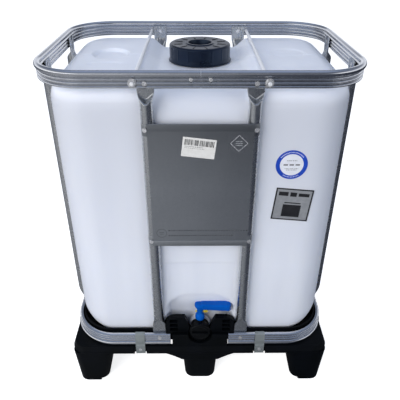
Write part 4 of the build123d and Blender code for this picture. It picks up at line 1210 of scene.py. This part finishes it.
# ---- Looks of the CAD pieces that keep their own shape ----
cad_looks = {
    black_pallet: ["pallet", "pallet_feet"],
    black_valve: ["valve_body", "vent_plug"],
    seal_look: ["valve_gasket", "valve_seat", "stem_seals", "fill_cap_seal", "vent_seal", "dust_cap_seal"],
    disc_look: ["valve_disc", "valve_stem"],
    yellow_pin: ["locking_pin"],
    steel_clip: ["rail_clips"],
    steel_rail: ["rail_joint_sleeve"],
    rod_painted_bright: ["left_retaining_rod", "right_retaining_rod"],
    blue_lever: ["lever_screw"],
    steel_bright: [
        "rod_washers", "rod_nuts", "plate_screws", "clip_screws",
        "post_rivets_top", "post_rivets_bottom", "rail_joint_rivets",
    ],
}
for look, names in cad_looks.items():
    for name in names:
        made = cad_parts[name]
        made.data.materials.clear()
        made.data.materials.append(look)


# ---- Floor, light and camera ----
scene = bpy.context.scene
floor = mesh_object("floor", [(-30, -30, 0), (30, -30, 0), (30, 30, 0), (-30, 30, 0)], [(0, 1, 2, 3)], False)


def colour_ramp(tree, factor, stops):
    """Colour ramp through (place, colour) stops."""
    made = node(tree, "ShaderNodeValToRGB", Fac=factor)
    elements = made.color_ramp.elements
    while len(elements) < len(stops):
        elements.new(1.0)
    for element, (place_at, colour) in zip(elements, stops):
        element.position, element.color = place_at, (*colour, 1)
    return made.outputs[0]


def studio_floor():
    """Pale to the camera; to the light and to reflections it is darker, most of all on the right."""
    material = bpy.data.materials.new("studio_floor")
    material.use_nodes = True
    tree = material.node_tree
    tree.nodes.clear()
    coords = tree.nodes.new("ShaderNodeTexCoord").outputs["Object"]
    tone = remap(tree, noise_value(tree, coords, 3.0, 2.0), 0.3, 0.7, 0.86, 0.90)
    pale = node(tree, "ShaderNodeCombineColor", i0=tone, i1=tone, i2=tone).outputs[0]
    lit = node(tree, "ShaderNodeBsdfDiffuse", Color=pale).outputs[0]
    glow = node(tree, "ShaderNodeEmission", Color=(1, 1, 1, 1), Strength=0.76).outputs[0]
    seen = node(tree, "ShaderNodeAddShader", i0=lit, i1=glow).outputs[0]
    across = node(tree, "ShaderNodeSeparateXYZ", i0=coords).outputs["X"]
    dim = colour_ramp(tree, remap(tree, across, -1.0, 1.0, 0.0, 1.0), [
        (0.0, (0.34, 0.34, 0.34)), (0.46, (0.27, 0.275, 0.28)), (0.56, (0.20, 0.205, 0.215)),
        (0.66, (0.09, 0.095, 0.11)), (1.0, (0.07, 0.075, 0.09)),
    ])
    mirrored = node(tree, "ShaderNodeBsdfDiffuse", Color=dim).outputs[0]
    camera_ray = tree.nodes.new("ShaderNodeLightPath").outputs["Is Camera Ray"]
    mixed = node(tree, "ShaderNodeMixShader", i0=camera_ray, i1=mirrored, i2=seen).outputs[0]
    tree.links.new(mixed, tree.nodes.new("ShaderNodeOutputMaterial").inputs["Surface"])
    return material


floor.data.materials.append(studio_floor())


def studio_world():
    """White to the camera; to the object bright low down, darker above and darkest right of the middle."""
    world = bpy.data.worlds.new("studio")
    world.use_nodes = True
    tree = world.node_tree
    tree.nodes.clear()
    coords = tree.nodes.new("ShaderNodeTexCoord").outputs["Generated"]
    parts = node(tree, "ShaderNodeSeparateXYZ", i0=coords)
    height = colour_ramp(tree, remap(tree, parts.outputs["Z"], 0.0, 1.0, 0.0, 1.0), [
        (0.0, (1.25, 1.26, 1.28)), (0.26, (1.15, 1.16, 1.19)), (0.36, (0.50, 0.52, 0.57)),
        (0.48, (0.24, 0.26, 0.31)), (0.66, (0.20, 0.23, 0.30)), (0.85, (0.27, 0.33, 0.46)),
        (1.0, (0.36, 0.43, 0.60)),
    ])
    around = colour_ramp(tree, remap(tree, parts.outputs["X"], -1.0, 1.0, 0.0, 1.0), [
        (0.0, (1.15, 1.15, 1.15)), (0.25, (1.25, 1.25, 1.25)), (0.40, (0.85, 0.85, 0.86)),
        (0.50, (0.45, 0.46, 0.48)), (0.62, (0.19, 0.20, 0.23)), (0.78, (0.30, 0.32, 0.36)),
        (0.90, (1.0, 1.01, 1.04)), (1.0, (0.80, 0.82, 0.88)),
    ])
    behind = remap(tree, parts.outputs["Y"], 0.0, 0.7, 0.0, 1.0)
    around = blend_colour(tree, behind, around, (0.75, 0.77, 0.82))
    level = remap(tree, parts.outputs["Z"], 0.45, 0.9, 0.0, 1.0)
    around = blend_colour(tree, level, around, (1.0, 1.0, 1.0))
    sky = node(tree, "ShaderNodeVectorMath", {"operation": "MULTIPLY"}, i0=height, i1=around).outputs[0]
    object_light = node(tree, "ShaderNodeBackground", Color=sky, Strength=1.0)
    camera_light = node(tree, "ShaderNodeBackground", Color=(1, 1, 1, 1), Strength=1.0)
    camera_ray = tree.nodes.new("ShaderNodeLightPath").outputs["Is Camera Ray"]
    mixed = node(
        tree, "ShaderNodeMixShader", i0=camera_ray, i1=object_light.outputs[0], i2=camera_light.outputs[0]
    )
    tree.links.new(mixed.outputs[0], tree.nodes.new("ShaderNodeOutputWorld").inputs["Surface"])
    return world


scene.world = studio_world()


def area_light(name, place_at, target, size, power, colour):
    """Soft rectangular light aimed at a point."""
    data = bpy.data.lights.new(name, "AREA")
    data.shape, data.size, data.size_y = "RECTANGLE", size[0], size[1]
    data.energy, data.color = power, colour
    made = bpy.data.objects.new(name, data)
    made.location = place_at
    aim = Vector(target) - Vector(place_at)
    made.rotation_euler = aim.to_track_quat("-Z", "Y").to_euler()
    made.visible_glossy = False
    scene.collection.objects.link(made)
    return made


area_light("key_light", (-2.0, -2.6, 2.2), (0, 0, 0.35), (2.6, 2.0), 88, (1.0, 0.985, 0.97))
area_light("fill_light", (2.2, -2.6, 1.2), (0, 0, 0.35), (2.0, 1.8), 26, (0.88, 0.93, 1.0))
area_light("rear_light", (0.0, 0.6, 3.2), (0, 0, 0.9), (2.6, 2.2), 18, (0.92, 0.96, 1.0))

scene.view_settings.view_transform = "Standard"
scene.view_settings.look = "None"


def photo_camera():
    """Camera at the photograph's height, distance and angle."""
    data = bpy.data.cameras.new("photo_camera")
    data.lens, data.sensor_width = 41.86, 36.0
    made = bpy.data.objects.new("photo_camera", data)
    scene.collection.objects.link(made)
    pitch, yaw, roll = math.radians(31.28), math.radians(0.56), math.radians(0.169)
    forward = Vector((math.sin(yaw) * math.cos(pitch), math.cos(yaw) * math.cos(pitch), -math.sin(pitch)))
    right = Vector((math.cos(yaw), -math.sin(yaw), 0.0))
    up = right.cross(forward)
    turned_right = right * math.cos(roll) + up * math.sin(roll)
    turned_up = up * math.cos(roll) - right * math.sin(roll)
    turn = Matrix((turned_right, turned_up, -forward)).transposed()
    made.matrix_world = Matrix.Translation((-0.0111, -1.2944, 1.2975)) @ turn.to_4x4()
    return made


scene.camera = photo_camera()
